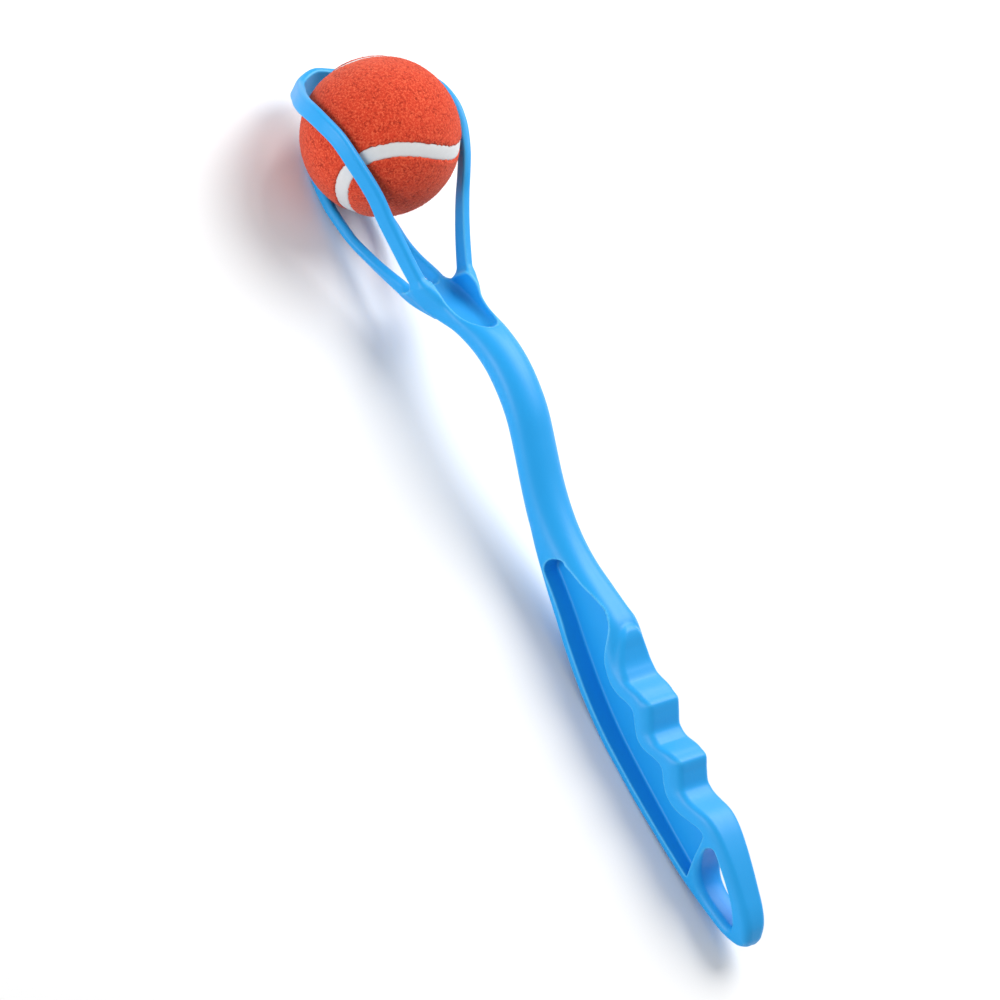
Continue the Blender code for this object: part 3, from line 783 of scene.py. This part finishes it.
class Moulding:
    """The launcher as distances to its surface, in the moulding's own axes."""

    def __init__(self, sizes, ball_radius, gap):
        self.sizes = sizes
        self.ring_seat = ball_radius + gap + sizes.ring_thickness / 2
        self.loop_seat = ball_radius + gap + sizes.loop_thickness / 2
        self.tail = sizes.fork_distance + sizes.handle_length

    def share_at(self, x):
        return (x - self.sizes.fork_distance) / self.sizes.handle_length

    def along(self, share):
        return self.sizes.fork_distance + share * self.sizes.handle_length

    def line(self, table, places):
        return table_line(table, places) * self.sizes.handle_lift

    def placed(self, table):
        return [(self.along(place), lift * self.sizes.handle_lift) for place, lift in table]

    def flange_edge(self, places):
        return self.line(BACK_LINE_SHARES, places) + self.sizes.back_flange

    def handle(self, x, side, up):
        """The handle's rounded section at each place along it."""
        sizes = self.sizes
        places = np.clip(self.share_at(x), 0.0, 1.0)
        low = self.line(BACK_LINE_SHARES, places)
        high = self.line(FRONT_LINE_SHARES, places)
        half_width = table_line(HALF_WIDTH_SHARES, places) * sizes.handle_half_width
        half_depth = np.maximum(high - low, sizes.tail_end_height) / 2
        front_across, front_up, back_across, back_up = (
            np.minimum(table_line(CORNER_SHARES, places, column), 1.0) for column in range(1, 5))
        rise = up - (low + high) / 2
        front = rise > 0
        corner_across = np.where(front, front_across, back_across) * half_width
        corner_up = np.where(front, front_up, back_up) * half_depth
        across = side - half_width + corner_across
        over = np.abs(rise) - half_depth + corner_up
        near = np.hypot(across / corner_across, over / corner_up)
        steepness = np.hypot(across / corner_across ** 2, over / corner_up ** 2)
        curved = near * (near - 1) / np.maximum(steepness, TINY)
        flat = np.maximum(side - half_width, np.abs(rise) - half_depth)
        section = np.where((across > 0) & (over > 0), curved, flat)
        slope = np.gradient(section, x.ravel(), axis=0)
        section = section / np.sqrt(1 + slope ** 2)
        section = round_overlap(section, sizes.fork_distance - x, sizes.end_round)
        return round_overlap(section, x - self.tail, sizes.tail_round)

    def pads(self, x, side, up, solid):
        """The three finger pads, blended onto the grip."""
        sizes = self.sizes
        for rows in PAD_SHARES:
            path = smooth_path(rows, TABLE_STEPS)
            places = self.share_at(x)
            top = np.interp(places, path[:, 0], path[:, 1]) * sizes.handle_lift
            width = np.interp(places, path[:, 0], path[:, 2]) * sizes.handle_half_width
            ends = np.maximum(self.along(path[0, 0]) - x, x - self.along(path[-1, 0]))
            pad = round_overlap(side - width, up - top, sizes.pad_round)
            pad = round_overlap(pad, ends, sizes.pad_end_round)
            pad = np.maximum(pad, top - sizes.pad_depth - up)
            solid = round_union(solid, pad, sizes.pad_blend)
        return solid

    def recess_outline(self):
        """The side recess: its scalloped rim, the flange's edge and a round end."""
        path = smooth_path(self.placed(RIM_LINE_SHARES), RIM_STEPS)
        gaps = path[:, 1] - self.flange_edge(self.share_at(path[:, 0]))
        count = int(np.argmax(gaps <= 0))
        front = path[:count]
        start, end = self.share_at(front[-1, 0]), self.share_at(front[0, 0])
        places = np.linspace(start, end, FLANGE_PLACES)
        back = np.stack([self.along(places), self.flange_edge(places)], axis=1)
        middle = (front[0] + back[-1]) / 2
        half_height = (front[0, 1] - back[-1, 1]) / 2
        angles = np.linspace(0.0, math.pi, END_PLACES)[1:-1]
        round_end = np.stack([
            middle[0] - self.sizes.recess_end * np.sin(angles),
            middle[1] - half_height * np.cos(angles),
        ], axis=1)
        return np.concatenate([front, back, round_end])

    def hole_outline(self):
        return smooth_path(self.placed(HOLE_OUTLINE_SHARES), HOLE_STEPS, closed=True)

    def cut_recess(self, x, side, up, solid):
        sizes = self.sizes
        outline = outline_distance(x, up, self.recess_outline())
        pocket = round_overlap(outline, sizes.web_thickness / 2 - side, sizes.recess_floor_round)
        return round_overlap(solid, -pocket, sizes.recess_rim_round)

    def cut_hole(self, x, side, up, solid):
        """The hanging hole, soft at its edge towards the back line and crisp at the other."""
        sizes = self.sizes
        hole = outline_distance(x, up, self.hole_outline())
        places = np.clip(self.share_at(x), 0.0, 1.0)
        back = self.line(BACK_LINE_SHARES, places)
        front = self.line(FRONT_LINE_SHARES, places)
        rise = (up - back) / np.maximum(front - back, sizes.tail_end_height)
        share = smooth_step((rise - SOFT_SIDE_SHARE) / SOFT_SIDE_SHARE)
        radius = sizes.hole_soft_round + (sizes.hole_round - sizes.hole_soft_round) * share
        return round_overlap(solid, -hole, radius)

    def cut_scoop(self, x, side, up, solid):
        sizes = self.sizes
        path = smooth_path(SCOOP_SHARES, TABLE_STEPS)
        places = self.share_at(x)
        floor = np.interp(places, path[:, 0], path[:, 1]) * sizes.handle_lift
        width = np.interp(places, path[:, 0], path[:, 2]) * sizes.handle_half_width
        ends = np.maximum(self.along(path[0, 0]) - x, x - self.along(path[-1, 0]))
        corner = np.minimum(sizes.scoop_round, SCOOP_CORNER_SHARE * width)
        scoop = round_overlap(side - width, floor - up, corner)
        scoop = np.maximum(scoop, ends)
        return round_overlap(solid, -scoop, sizes.scoop_rim_round)

    def bar_line(self, fork_shares, seat_shares, seat):
        """Even places along half a bar, and a little past its middle."""
        fork = self.sizes.fork_distance
        near = [(x * fork, y * seat, z * seat) for x, z, y in fork_shares]
        near += [(x * seat, y * seat, z * seat) for x, z, y in seat_shares]
        far = [(x, -y, z) for x, y, z in reversed(near[:-1])]
        fine = smooth_path(near + far, BAR_STEPS)
        steps = np.linalg.norm(np.diff(fine, axis=0), axis=1)
        lengths = np.concatenate([[0.0], np.cumsum(steps)])
        end = lengths[-1] / 2 + self.ring_seat / 4
        at = np.arange(0.0, end, self.sizes.bar_step)
        return np.stack([np.interp(at, lengths, fine[:, axis]) for axis in range(3)], axis=1)

    def bar(self, axes, middle, size_of):
        """A rounded bar along its middle line. Each point goes to its nearest place."""
        forward = np.gradient(middle, axis=0)
        forward /= np.linalg.norm(forward, axis=1)[:, None]
        hold = 1 - np.clip(middle[:, 0] / self.sizes.fork_distance, 0.0, 1.0)
        outward = middle * np.stack([hold, np.ones(len(hold)), hold], axis=1)
        outward -= forward * (outward * forward).sum(axis=1)[:, None]
        outward /= np.linalg.norm(outward, axis=1)[:, None]
        upward = np.cross(forward, outward)
        shape = tuple(len(axis) for axis in axes)
        best = np.full(shape, np.inf, dtype=np.float32)
        which = np.zeros(shape, dtype=np.int32)
        for index, point in enumerate(middle):
            spans = tuple(
                slice(*np.searchsorted(axis, (at - BAR_REACH, at + BAR_REACH)))
                for axis, at in zip(axes, point)
            )
            x, y, z = (axis[span] - at for axis, span, at in zip(axes, spans, point))
            gap = (x * x)[:, None, None] + (y * y)[None, :, None] + (z * z)[None, None, :]
            held = best[spans]
            closer = gap < held
            held[closer] = gap[closer]
            which[spans][closer] = index
        touched = np.nonzero(np.isfinite(best))
        number = which[touched]
        places = np.stack([axis[place] for axis, place in zip(axes, touched)], axis=1)
        offset = places - middle[number]
        height, thickness, inner, outer = (value[number] for value in size_of(middle))
        across = np.abs((offset * upward[number]).sum(axis=1))
        out = (offset * outward[number]).sum(axis=1)
        radius = np.where(out > 0, outer, inner)
        over = np.stack([across - height / 2 + radius, np.abs(out) - thickness / 2 + radius])
        distance = np.hypot(*np.maximum(over, 0)) + np.minimum(over.max(axis=0), 0) - radius
        before = -(offset * forward[number]).sum(axis=1)
        distance = np.where(number == 0, np.maximum(distance, before), distance)
        field = np.full(shape, FAR_AWAY)
        field[touched] = distance
        return field

    def ring_sizes(self, middle):
        """The ring's bar is thinner where it holds the ball, and taller towards its tip."""
        sizes = self.sizes
        hold = np.clip(1 - middle[:, 0] / sizes.fork_distance, 0.0, 1.0) ** 2
        turning = np.clip(-middle[:, 0] / self.ring_seat, 0.0, 1.0) ** 2
        across = np.abs(middle[:, 1]) / self.ring_seat
        tip = smooth_step(1 - across / sizes.tip_reach_share)
        height = sizes.ring_height + sizes.ring_turn_growth * turning
        height = height + (sizes.ring_tip_height - height) * tip
        thinner = sizes.ring_hold_thickness - sizes.ring_thickness
        thickness = sizes.ring_thickness + thinner * hold
        outer = np.minimum(sizes.ring_outer_round, thickness / 2)
        return height, thickness, np.full(len(hold), sizes.ring_inner_round), outer

    def loop_sizes(self, middle):
        """The loop's bar widens into the web of the fork."""
        sizes = self.sizes
        flare = smooth_step((middle[:, 0] / sizes.fork_distance - FLARE_START) / FLARE_LENGTH)
        height = sizes.loop_height * (1 + LOOP_FLARE * flare)
        values = (sizes.loop_thickness, sizes.loop_round, sizes.loop_round)
        return (height, *(np.full(len(middle), value) for value in values))

    def head(self, axes):
        """The ring and the loop on their block of space."""
        ring_line = self.bar_line(RING_FORK_SHARES, RING_SEAT_SHARES, self.ring_seat)
        loop_line = self.bar_line(LOOP_FORK_SHARES, LOOP_SEAT_SHARES, self.loop_seat)
        ring = self.bar(axes, ring_line, self.ring_sizes)
        loop = self.bar(axes, loop_line, self.loop_sizes)
        return ring, loop

    def field(self, axes):
        """Distances on the whole block of space, worked out slab by slab."""
        sizes = self.sizes
        all_x, all_side, all_up = axes
        field = np.full(tuple(len(axis) for axis in axes), FAR_AWAY, dtype=np.float32)
        handle_start = sizes.fork_distance - BEFORE_HANDLE
        head_count = int(np.searchsorted(all_x, self.along(HEAD_END_SHARE)))
        ring, loop = self.head((all_x[:head_count], all_side, all_up))
        for start in range(0, len(all_x), SLAB):
            span = slice(start, start + SLAB)
            xs = all_x[span]
            if xs[-1] < handle_start:
                field[span] = round_union(ring[span], loop[span], sizes.bar_blend)
                continue
            places = np.clip(self.share_at(xs), 0.0, 1.0)
            low = self.line(BACK_LINE_SHARES, places).min() - UNDER_BACK
            high = self.line(FRONT_LINE_SHARES, places).max() + OVER_FRONT
            side_end = int(np.searchsorted(all_side, HANDLE_SIDE))
            if start < head_count:
                low, high, side_end = all_up[0], all_up[-1], len(all_side)
            first = int(np.searchsorted(all_up, low))
            last = int(np.searchsorted(all_up, high, side="right"))
            x = xs[:, None, None]
            side = np.abs(all_side[None, :side_end, None])
            up = all_up[None, None, first:last]
            solid = self.handle(x, side, up)
            if xs[-1] > self.along(PADS_START_SHARE):
                solid = self.pads(x, side, up, solid)
            if start < head_count:
                inside = x - sizes.fork_distance
                inward = smooth_step((inside - sizes.fork_fade / 3) / sizes.fork_fade)
                for bar, blend in ((loop, sizes.loop_blend), (ring, sizes.fork_blend)):
                    part = np.full((len(xs), side_end, last - first), FAR_AWAY)
                    known = bar[span]
                    part[:len(known)] = known[:, :, first:last]
                    solid = round_union(solid, part, blend * (1 - inward) + sizes.least_blend)
                solid = self.cut_scoop(x, side, up, solid)
            if xs[-1] > self.along(RECESS_START_SHARE):
                solid = self.cut_recess(x, side, up, solid)
                solid = self.cut_hole(x, side, up, solid)
            field[span, :side_end, first:last] = solid
        return field


def surface_net(field, axes):
    """A quad mesh on the surface where the distances pass through zero."""
    inside = field < 0
    count = np.zeros(tuple(size - 1 for size in field.shape), dtype=np.int8)
    corners = [(i, j, k) for i in (0, 1) for j in (0, 1) for k in (0, 1)]
    for corner in corners:
        spans = tuple(slice(shift, size - 1 + shift) for shift, size in zip(corner, field.shape))
        count += inside[spans]
    active = np.nonzero((count > 0) & (count < 8))
    number = np.full(count.shape, -1, dtype=np.int32)
    number[active] = np.arange(len(active[0]))
    values = {
        corner: field[tuple(at + shift for at, shift in zip(active, corner))] for corner in corners
    }
    total = np.zeros((len(active[0]), 3))
    crossings = np.zeros(len(active[0]))
    for first in corners:
        for axis in range(3):
            if first[axis]:
                continue
            second = tuple(1 if other == axis else value for other, value in enumerate(first))
            start, end = values[first], values[second]
            crossed = (start < 0) != (end < 0)
            share = np.where(crossed, start / np.where(crossed, start - end, 1.0), 0.0)
            for other in range(3):
                total[:, other] += crossed * (first[other] if other != axis else share)
            crossings += crossed
    step = axes[0][1] - axes[0][0]
    origin = np.array([axis[0] for axis in axes])
    points = origin + step * (np.stack(active, axis=1) + total / crossings[:, None])
    faces = []
    for axis in range(3):
        before = tuple(slice(0, -1) if other == axis else slice(1, -1) for other in range(3))
        after = tuple(slice(1, None) if other == axis else slice(1, -1) for other in range(3))
        starts = inside[before]
        changed = np.nonzero(starts != inside[after])
        leaving = starts[changed]
        second, third = [other for other in range(3) if other != axis]
        base = [at + (0 if other == axis else 1) for other, at in enumerate(changed)]
        ring = []
        for shift_second, shift_third in ((1, 1), (0, 1), (0, 0), (1, 0)):
            cell = list(base)
            cell[second] = cell[second] - shift_second
            cell[third] = cell[third] - shift_third
            ring.append(number[tuple(cell)])
        quads = np.stack(ring, axis=1)
        turned = ~leaving if axis != 1 else leaving
        quads[turned] = quads[turned][:, ::-1]
        faces.append(quads)
    return points, np.concatenate(faces)


def read_field(field, axes, points):
    """The distances between the block's places, on straight lines."""
    step = axes[0][1] - axes[0][0]
    where = (points - np.array([axis[0] for axis in axes])) / step
    limit = np.array(field.shape) - 2
    base = np.clip(np.floor(where).astype(int), 0, limit)
    share = where - base
    total = 0.0
    for i in (0, 1):
        for j in (0, 1):
            for k in (0, 1):
                weight = 1.0
                for axis, shift in enumerate((i, j, k)):
                    weight = weight * (share[:, axis] if shift else 1 - share[:, axis])
                total = total + weight * field[base[:, 0] + i, base[:, 1] + j, base[:, 2] + k]
    return total


def field_slopes(field, axes, points):
    step = axes[0][1] - axes[0][0]
    slopes = []
    for axis in range(3):
        shift = np.zeros(3)
        shift[axis] = step * 0.75
        after = read_field(field, axes, points + shift)
        slopes.append(after - read_field(field, axes, points - shift))
    return np.stack(slopes, axis=1) / (1.5 * step)


def field_turning(field, axes, points):
    """How sharply the surface turns, one over the radius: more than zero on outer edges."""
    step = axes[0][1] - axes[0][0]
    middle = read_field(field, axes, points)
    total = np.zeros(len(points))
    for axis in range(3):
        shift = np.zeros(3)
        shift[axis] = step
        for side in (points + shift, points - shift):
            total += read_field(field, axes, side) - middle
    return total / step ** 2


def mesh_object(name, points, faces, material, smooth=True):
    """A mesh object from arrays, with its place in its mesh."""
    data = bpy.data.meshes.new(name)
    data.from_pydata(points.tolist(), [], faces if isinstance(faces, list) else faces.tolist())
    data.polygons.foreach_set("use_smooth", [smooth] * len(data.polygons))
    data.materials.append(material)
    piece = bpy.data.objects.new(name, data)
    bpy.context.scene.collection.objects.link(piece)
    return piece


def carried(matrix, points):
    turn = np.array(matrix.to_3x3())
    return points @ turn.T + np.array(matrix.translation)


class LAUNCHER_OT_moulding(bpy.types.Operator):
    """Build the blue moulding."""

    bl_idname = "launcher.moulding"
    bl_label = "Moulding"

    def execute(self, context):
        scene = context.scene
        sizes = scene.launcher_sizes
        ball = scene.launcher_ball
        moulding = Moulding(sizes, ball.diameter / 2, ball.gap)
        step = sizes.mesh_step
        reach = moulding.ring_seat + sizes.ring_tip_height
        across = int(reach / step)
        axes = (
            np.arange(-reach, moulding.tail + 6 * step, step),
            (np.arange(-across, across) + 0.5) * step,
            np.arange(-reach, sizes.handle_lift + OVER_FRONT, step),
        )
        near_axes = (axes[0], axes[1][across:], axes[2])
        near = moulding.field(near_axes)
        field = np.concatenate([near[:, ::-1], near], axis=1)
        points, faces = surface_net(field, axes)
        for _ in range(2):
            slopes = field_slopes(field, axes, points)
            size = np.maximum((slopes ** 2).sum(axis=1), 0.2)
            points = points - slopes * (read_field(field, axes, points) / size)[:, None]
        slopes = field_slopes(field, axes, points)
        turning = field_turning(field, axes, points)
        matrix = mould_matrix()
        if not len(faces):
            raise RuntimeError("the moulding has no surface")
        material = plastic_material(scene.launcher_finishes)
        piece = mesh_object("launcher", carried(matrix, points), faces, material)
        # Painted highlight: a share from 0 to 1 that rises on sharp convex edges and lightens the
        # plastic's colour there
        edge = piece.data.attributes.new(HIGHLIGHT_ATTRIBUTE, "FLOAT", "POINT")
        edge_highlight = smooth_step((turning - HIGHLIGHT_START_TURN) / (HIGHLIGHT_FULL_TURN - HIGHLIGHT_START_TURN))
        edge.data.foreach_set("value", edge_highlight)
        normals = slopes @ np.array(matrix.to_3x3()).T
        normals /= np.linalg.norm(normals, axis=1)[:, None]
        piece.data.normals_split_custom_set_from_vertices(normals.tolist())
        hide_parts("launcher_moulding")
        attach(piece, "launcher")
        return {"FINISHED"}


class Ball:
    """The ball's seam and panels on a sphere, in the ball's own axes."""

    def __init__(self, sizes):
        self.sizes = sizes
        self.radius = sizes.diameter / 2

    def matrix(self):
        return mould_matrix() @ Euler(self.sizes.turn).to_matrix().to_4x4()

    def seam_point(self, t):
        """Points of the seam on a sphere of radius one, and its directions there."""
        wave = self.sizes.seam_wave_share
        wide = 1 - wave
        rise = 2 * math.sqrt(wide * wave)
        point = np.stack([
            wide * np.cos(t) + wave * np.cos(3 * t),
            wide * np.sin(t) - wave * np.sin(3 * t),
            rise * np.sin(2 * t),
        ], axis=-1)
        heading = np.stack([
            -wide * np.sin(t) - 3 * wave * np.sin(3 * t),
            wide * np.cos(t) - 3 * wave * np.cos(3 * t),
            2 * rise * np.cos(2 * t),
        ], axis=-1)
        return unit(point), unit(heading)

    def beside_seam(self, t, distance):
        point, heading = self.seam_point(t)
        sideways = unit(np.cross(point, heading))
        angle = (distance / self.radius)[..., None]
        return point * np.cos(angle) + sideways * np.sin(angle)

    def wander(self, t, seed):
        """How far a cut edge strays, as shares from -1 to 1."""
        values = []
        for turn in t:
            place = Vector((math.cos(turn), math.sin(turn), seed))
            slow = noise.noise(place * 9.0)
            quick = noise.noise(place * 34.0)
            values.append(0.6 * slow + 0.9 * quick)
        return np.array(values)


def unit(vectors):
    return vectors / np.linalg.norm(vectors, axis=-1, keepdims=True)


def noise_at(points, scale, seed):
    shift = Vector((seed, 2.3 * seed, -1.7 * seed))
    return np.array([noise.noise(Vector(point) * scale + shift) for point in points])


def grid_shell(outer, inner, wrap):
    """A closed shell between two equal grids of points, one over the other. With wrap the
    grid's rows close into a ring."""
    rows, columns = outer.shape[:2]
    points = np.concatenate([outer.reshape(-1, 3), inner.reshape(-1, 3)])
    under = rows * columns

    def at(row, column):
        return (row % rows) * columns + column

    def wall(first, second):
        return (first, second, under + second, under + first)

    faces = []
    last = rows if wrap else rows - 1
    end = columns - 1
    for row in range(last):
        for column in range(end):
            near, far = at(row, column), at(row + 1, column)
            quad = (near, near + 1, far + 1, far)
            faces.append(quad)
            faces.append(tuple(under + corner for corner in reversed(quad)))
        faces.append(wall(at(row, 0), at(row + 1, 0)))
        faces.append(wall(at(row + 1, end), at(row, end)))
    if not wrap:
        for column in range(end):
            faces.append(wall(at(0, column + 1), at(0, column)))
            faces.append(wall(at(last, column), at(last, column + 1)))
    return points, faces


def tidy_shell(piece):
    """Closes the shell's points where a panel narrows to nothing, and turns faces out."""
    mesh = bmesh.new()
    mesh.from_mesh(piece.data)
    bmesh.ops.remove_doubles(mesh, verts=mesh.verts, dist=WELD)
    bmesh.ops.dissolve_degenerate(mesh, edges=mesh.edges, dist=WELD)
    bmesh.ops.recalc_face_normals(mesh, faces=mesh.faces)
    mesh.to_mesh(piece.data)
    mesh.free()


def hair_spikes(roots, sizes, generator):
    """Fine loose fibres: three-sided closed spikes that lie over the nap."""
    count = len(roots)
    out = unit(roots)
    random = generator.normal(size=(count, 3))
    along = unit(random - out * (random * out).sum(axis=1)[:, None])
    lean = generator.uniform(0.15, 0.75, size=(count, 1))
    direction = unit(along + out * lean)
    length = sizes.hair_length * generator.uniform(0.35, 1.0, size=(count, 1))
    side = unit(np.cross(direction, out))
    over = np.cross(side, direction)
    half = sizes.hair_width / 2
    base = roots - out * sizes.hair_width
    tips = base + direction * length
    corners = [base + side * half, base - side * half, base + over * half * 1.7]
    points = np.stack(corners + [tips], axis=1).reshape(-1, 3)
    start = 4 * np.arange(count)[:, None, None]
    pattern = np.array([(0, 1, 3), (1, 2, 3), (2, 0, 3), (0, 2, 1)])
    return points, (start + pattern).reshape(-1, 3)


class LAUNCHER_OT_felt(bpy.types.Operator):
    """Build the two napped felt panels."""

    bl_idname = "launcher.felt"
    bl_label = "Felt panels"

    def execute(self, context):
        scene = context.scene
        sizes = scene.launcher_ball
        ball = Ball(sizes)
        material = felt_material(scene.launcher_finishes)
        rows, columns = PANEL_ROWS, PANEL_COLUMNS
        middle = 3 * math.pi / 4
        for number, letter in enumerate("ab"):
            generator = np.random.default_rng(SEED + number)
            flip = np.array(Matrix.Rotation(math.pi * number, 3, "X"))
            reach = np.linspace(0.0, math.pi, rows)
            reach[0], reach[-1] = PANEL_POINT, math.pi - PANEL_POINT
            edge = sizes.seam_width / 2 + sizes.gap / 2
            left_edge = edge + sizes.ragged * ball.wander(middle - reach, 1.0 + number)
            right_edge = edge + sizes.ragged * ball.wander(middle + reach, 5.0 + number)
            left = ball.beside_seam(middle - reach, left_edge)
            right = ball.beside_seam(middle + reach, right_edge)
            angle = np.arccos(np.clip((left * right).sum(axis=1), -1.0, 1.0))[:, None, None]
            share = np.linspace(0.0, 1.0, columns)[None, :, None]
            grid = (
                np.sin((1 - share) * angle) * left[:, None] + np.sin(share * angle) * right[:, None]
            ) / np.sin(angle)
            grid = unit(grid)
            flat = grid.reshape(-1, 3) * ball.radius
            waves = noise_at(flat, 900.0, 3.0 + number)
            waves = waves + 0.7 * noise_at(flat, 2100.0, 8.0 + number)
            waves = waves.reshape(rows, columns, 1)
            from_edge = np.minimum(share, 1 - share) * angle * ball.radius
            lifted = 1 - np.exp(-from_edge / EDGE_PRESSED)
            pressed = sizes.seam_sink * 0.4 * (1 - lifted)
            height = (sizes.nap + sizes.nap_wave * waves) * lifted - pressed
            outer = grid * (ball.radius + height)
            inner = grid * (ball.radius - sizes.felt_thickness)
            points, faces = grid_shell(outer, inner, wrap=False)
            matrix = ball.matrix()
            points = carried(matrix, points @ flip.T)
            piece = mesh_object(f"felt_{letter}", points, faces, material)
            tidy_shell(piece)
            picks = (
                generator.integers(2, rows - 2, sizes.hairs),
                generator.integers(1, columns - 1, sizes.hairs),
            )
            jitter = generator.normal(scale=HAIR_SCATTER, size=(sizes.hairs, 3))
            wide = angle[picks[0], 0, 0] > generator.uniform(0.0, 1.5, sizes.hairs)
            roots = (outer[picks] + jitter)[wide]
            roots = unit(roots) * np.linalg.norm(outer[picks], axis=1)[wide][:, None]
            spikes, triangles = hair_spikes(roots, sizes, generator)
            fuzz = mesh_object(
                f"fuzz_{letter}", carried(matrix, spikes @ flip.T), triangles, material, smooth=False)
            for item in (piece, fuzz):
                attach(item, "ball")
            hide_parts(f"felt_panel_{letter}")
        return {"FINISHED"}


class LAUNCHER_OT_seam(bpy.types.Operator):
    """Build the rubber seam and finish the core."""

    bl_idname = "launcher.seam"
    bl_label = "Seam and core"

    def execute(self, context):
        scene = context.scene
        sizes = scene.launcher_ball
        ball = Ball(sizes)
        turns = np.linspace(0.0, 2 * math.pi, SEAM_ROWS, endpoint=False)
        shares = np.linspace(-1.0, 1.0, SEAM_COLUMNS)
        half = sizes.seam_width / 2 + sizes.gap * 0.4
        columns = [ball.beside_seam(turns, np.full(len(turns), share * half)) for share in shares]
        grid = np.stack(columns, axis=1)
        crown = (1 - shares ** 4)[None, :, None] * sizes.seam_sink * 0.5
        outer = grid * (ball.radius - sizes.seam_sink + crown)
        inner = grid * (ball.radius - sizes.felt_thickness)
        points, faces = grid_shell(outer, inner, wrap=True)
        material = seam_material(scene.launcher_finishes)
        piece = mesh_object("seam", carried(ball.matrix(), points), faces, material)
        tidy_shell(piece)
        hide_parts("ball_seam")
        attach(piece, "ball")
        rubber = rubber_material(scene.launcher_finishes)
        for letter in "ab":
            core = frame["nodes"][f"ball_core_half_{letter}"]
            for place in core.material_slots:
                place.material = rubber
        return {"FINISHED"}


class LAUNCHER_OT_studio(bpy.types.Operator):
    """Build the pale floor, the soft lights and the camera."""

    bl_idname = "launcher.studio"
    bl_label = "Studio"

    def execute(self, context):
        scene = context.scene
        studio = scene.launcher_studio
        half = studio.floor_side / 2
        corners = half * np.array([(-1, -1, 0), (1, -1, 0), (1, 1, 0), (-1, 1, 0)])
        material = floor_material(scene.launcher_finishes)
        floor = mesh_object("floor", corners, [(0, 1, 2, 3)], material)
        world = bpy.data.worlds.new("studio")
        world.use_nodes = True
        sky = world.node_tree.nodes["Background"].inputs
        sky["Color"].default_value = (1.0, 1.0, 1.0, 1.0)
        sky["Strength"].default_value = studio.sky
        scene.world = world
        scene.view_settings.view_transform = "Standard"
        turn = mould_matrix().to_3x3()
        aim = mould_matrix() @ aim_point()
        back = turn @ TOWARDS_CAMERA.normalized()
        up = turn @ picture_up()
        right = up.cross(back)
        facing = Matrix((right, up, back)).transposed().to_4x4()
        camera = bpy.data.objects.new("camera", bpy.data.cameras.new("camera"))
        camera.data.sensor_width = SENSOR
        camera.data.lens = SENSOR * studio.camera_distance / studio.view_width
        camera.data.clip_end = 4 * studio.camera_distance
        camera.matrix_world = Matrix.Translation(aim + back * studio.camera_distance) @ facing
        scene.collection.objects.link(camera)
        scene.camera = camera
        self.light(
            scene, "key", aim + KEY_DIRECTION.normalized() * KEY_DISTANCE,
            KEY_DIRECTION, KEY_DIAMETER, studio.key_power)
        self.light(
            scene, "fill", aim + FILL_DIRECTION.normalized() * FILL_DISTANCE,
            FILL_DIRECTION, FILL_DIAMETER, studio.fill_power)
        return {"FINISHED"}

    def light(self, scene, name, place, direction, diameter, power):
        data = bpy.data.lights.new(name, "AREA")
        data.shape = "DISK"
        data.size = diameter
        data.energy = power
        lamp = bpy.data.objects.new(name, data)
        lamp.rotation_euler = direction.to_track_quat("Z", "Y").to_euler()
        lamp.location = place
        scene.collection.objects.link(lamp)


def aim_point():
    along = Vector((AIM_ALONG, 0.0, 0.0))
    return along + ACROSS_VIEW * AIM_ACROSS + TOWARDS_CAMERA * AIM_TOWARDS


def picture_up():
    return (ACROSS_VIEW * ROLL_ALONG - Vector((1.0, 0.0, 0.0)) * ROLL_ACROSS).normalized()


class LAUNCHER_PT_panel(bpy.types.Panel):
    """Lists the builders of the launcher's pieces."""

    bl_idname = "LAUNCHER_PT_panel"
    bl_label = "Tennis ball launcher"
    bl_space_type = "VIEW_3D"
    bl_region_type = "UI"
    bl_category = "Launcher"

    def draw(self, context):
        for builder in BUILDERS:
            self.layout.operator(builder.bl_idname)


GROUPS = {
    "launcher_sizes": LauncherSizes,
    "launcher_ball": BallSizes,
    "launcher_finishes": Finishes,
    "launcher_studio": StudioSizes,
}
BUILDERS = (LAUNCHER_OT_moulding, LAUNCHER_OT_felt, LAUNCHER_OT_seam, LAUNCHER_OT_studio)


def register():
    for group in GROUPS.values():
        bpy.utils.register_class(group)
    for builder in (*BUILDERS, LAUNCHER_PT_panel):
        bpy.utils.register_class(builder)
    for name, group in GROUPS.items():
        setattr(bpy.types.Scene, name, bpy.props.PointerProperty(type=group))


def unregister():
    for name in GROUPS:
        delattr(bpy.types.Scene, name)
    for builder in (LAUNCHER_PT_panel, *reversed(BUILDERS)):
        bpy.utils.unregister_class(builder)
    for group in reversed(list(GROUPS.values())):
        bpy.utils.unregister_class(group)


def main():
    register()
    bpy.ops.launcher.moulding()
    bpy.ops.launcher.felt()
    bpy.ops.launcher.seam()
    bpy.ops.launcher.studio()


if __name__ == "__main__":
    main()
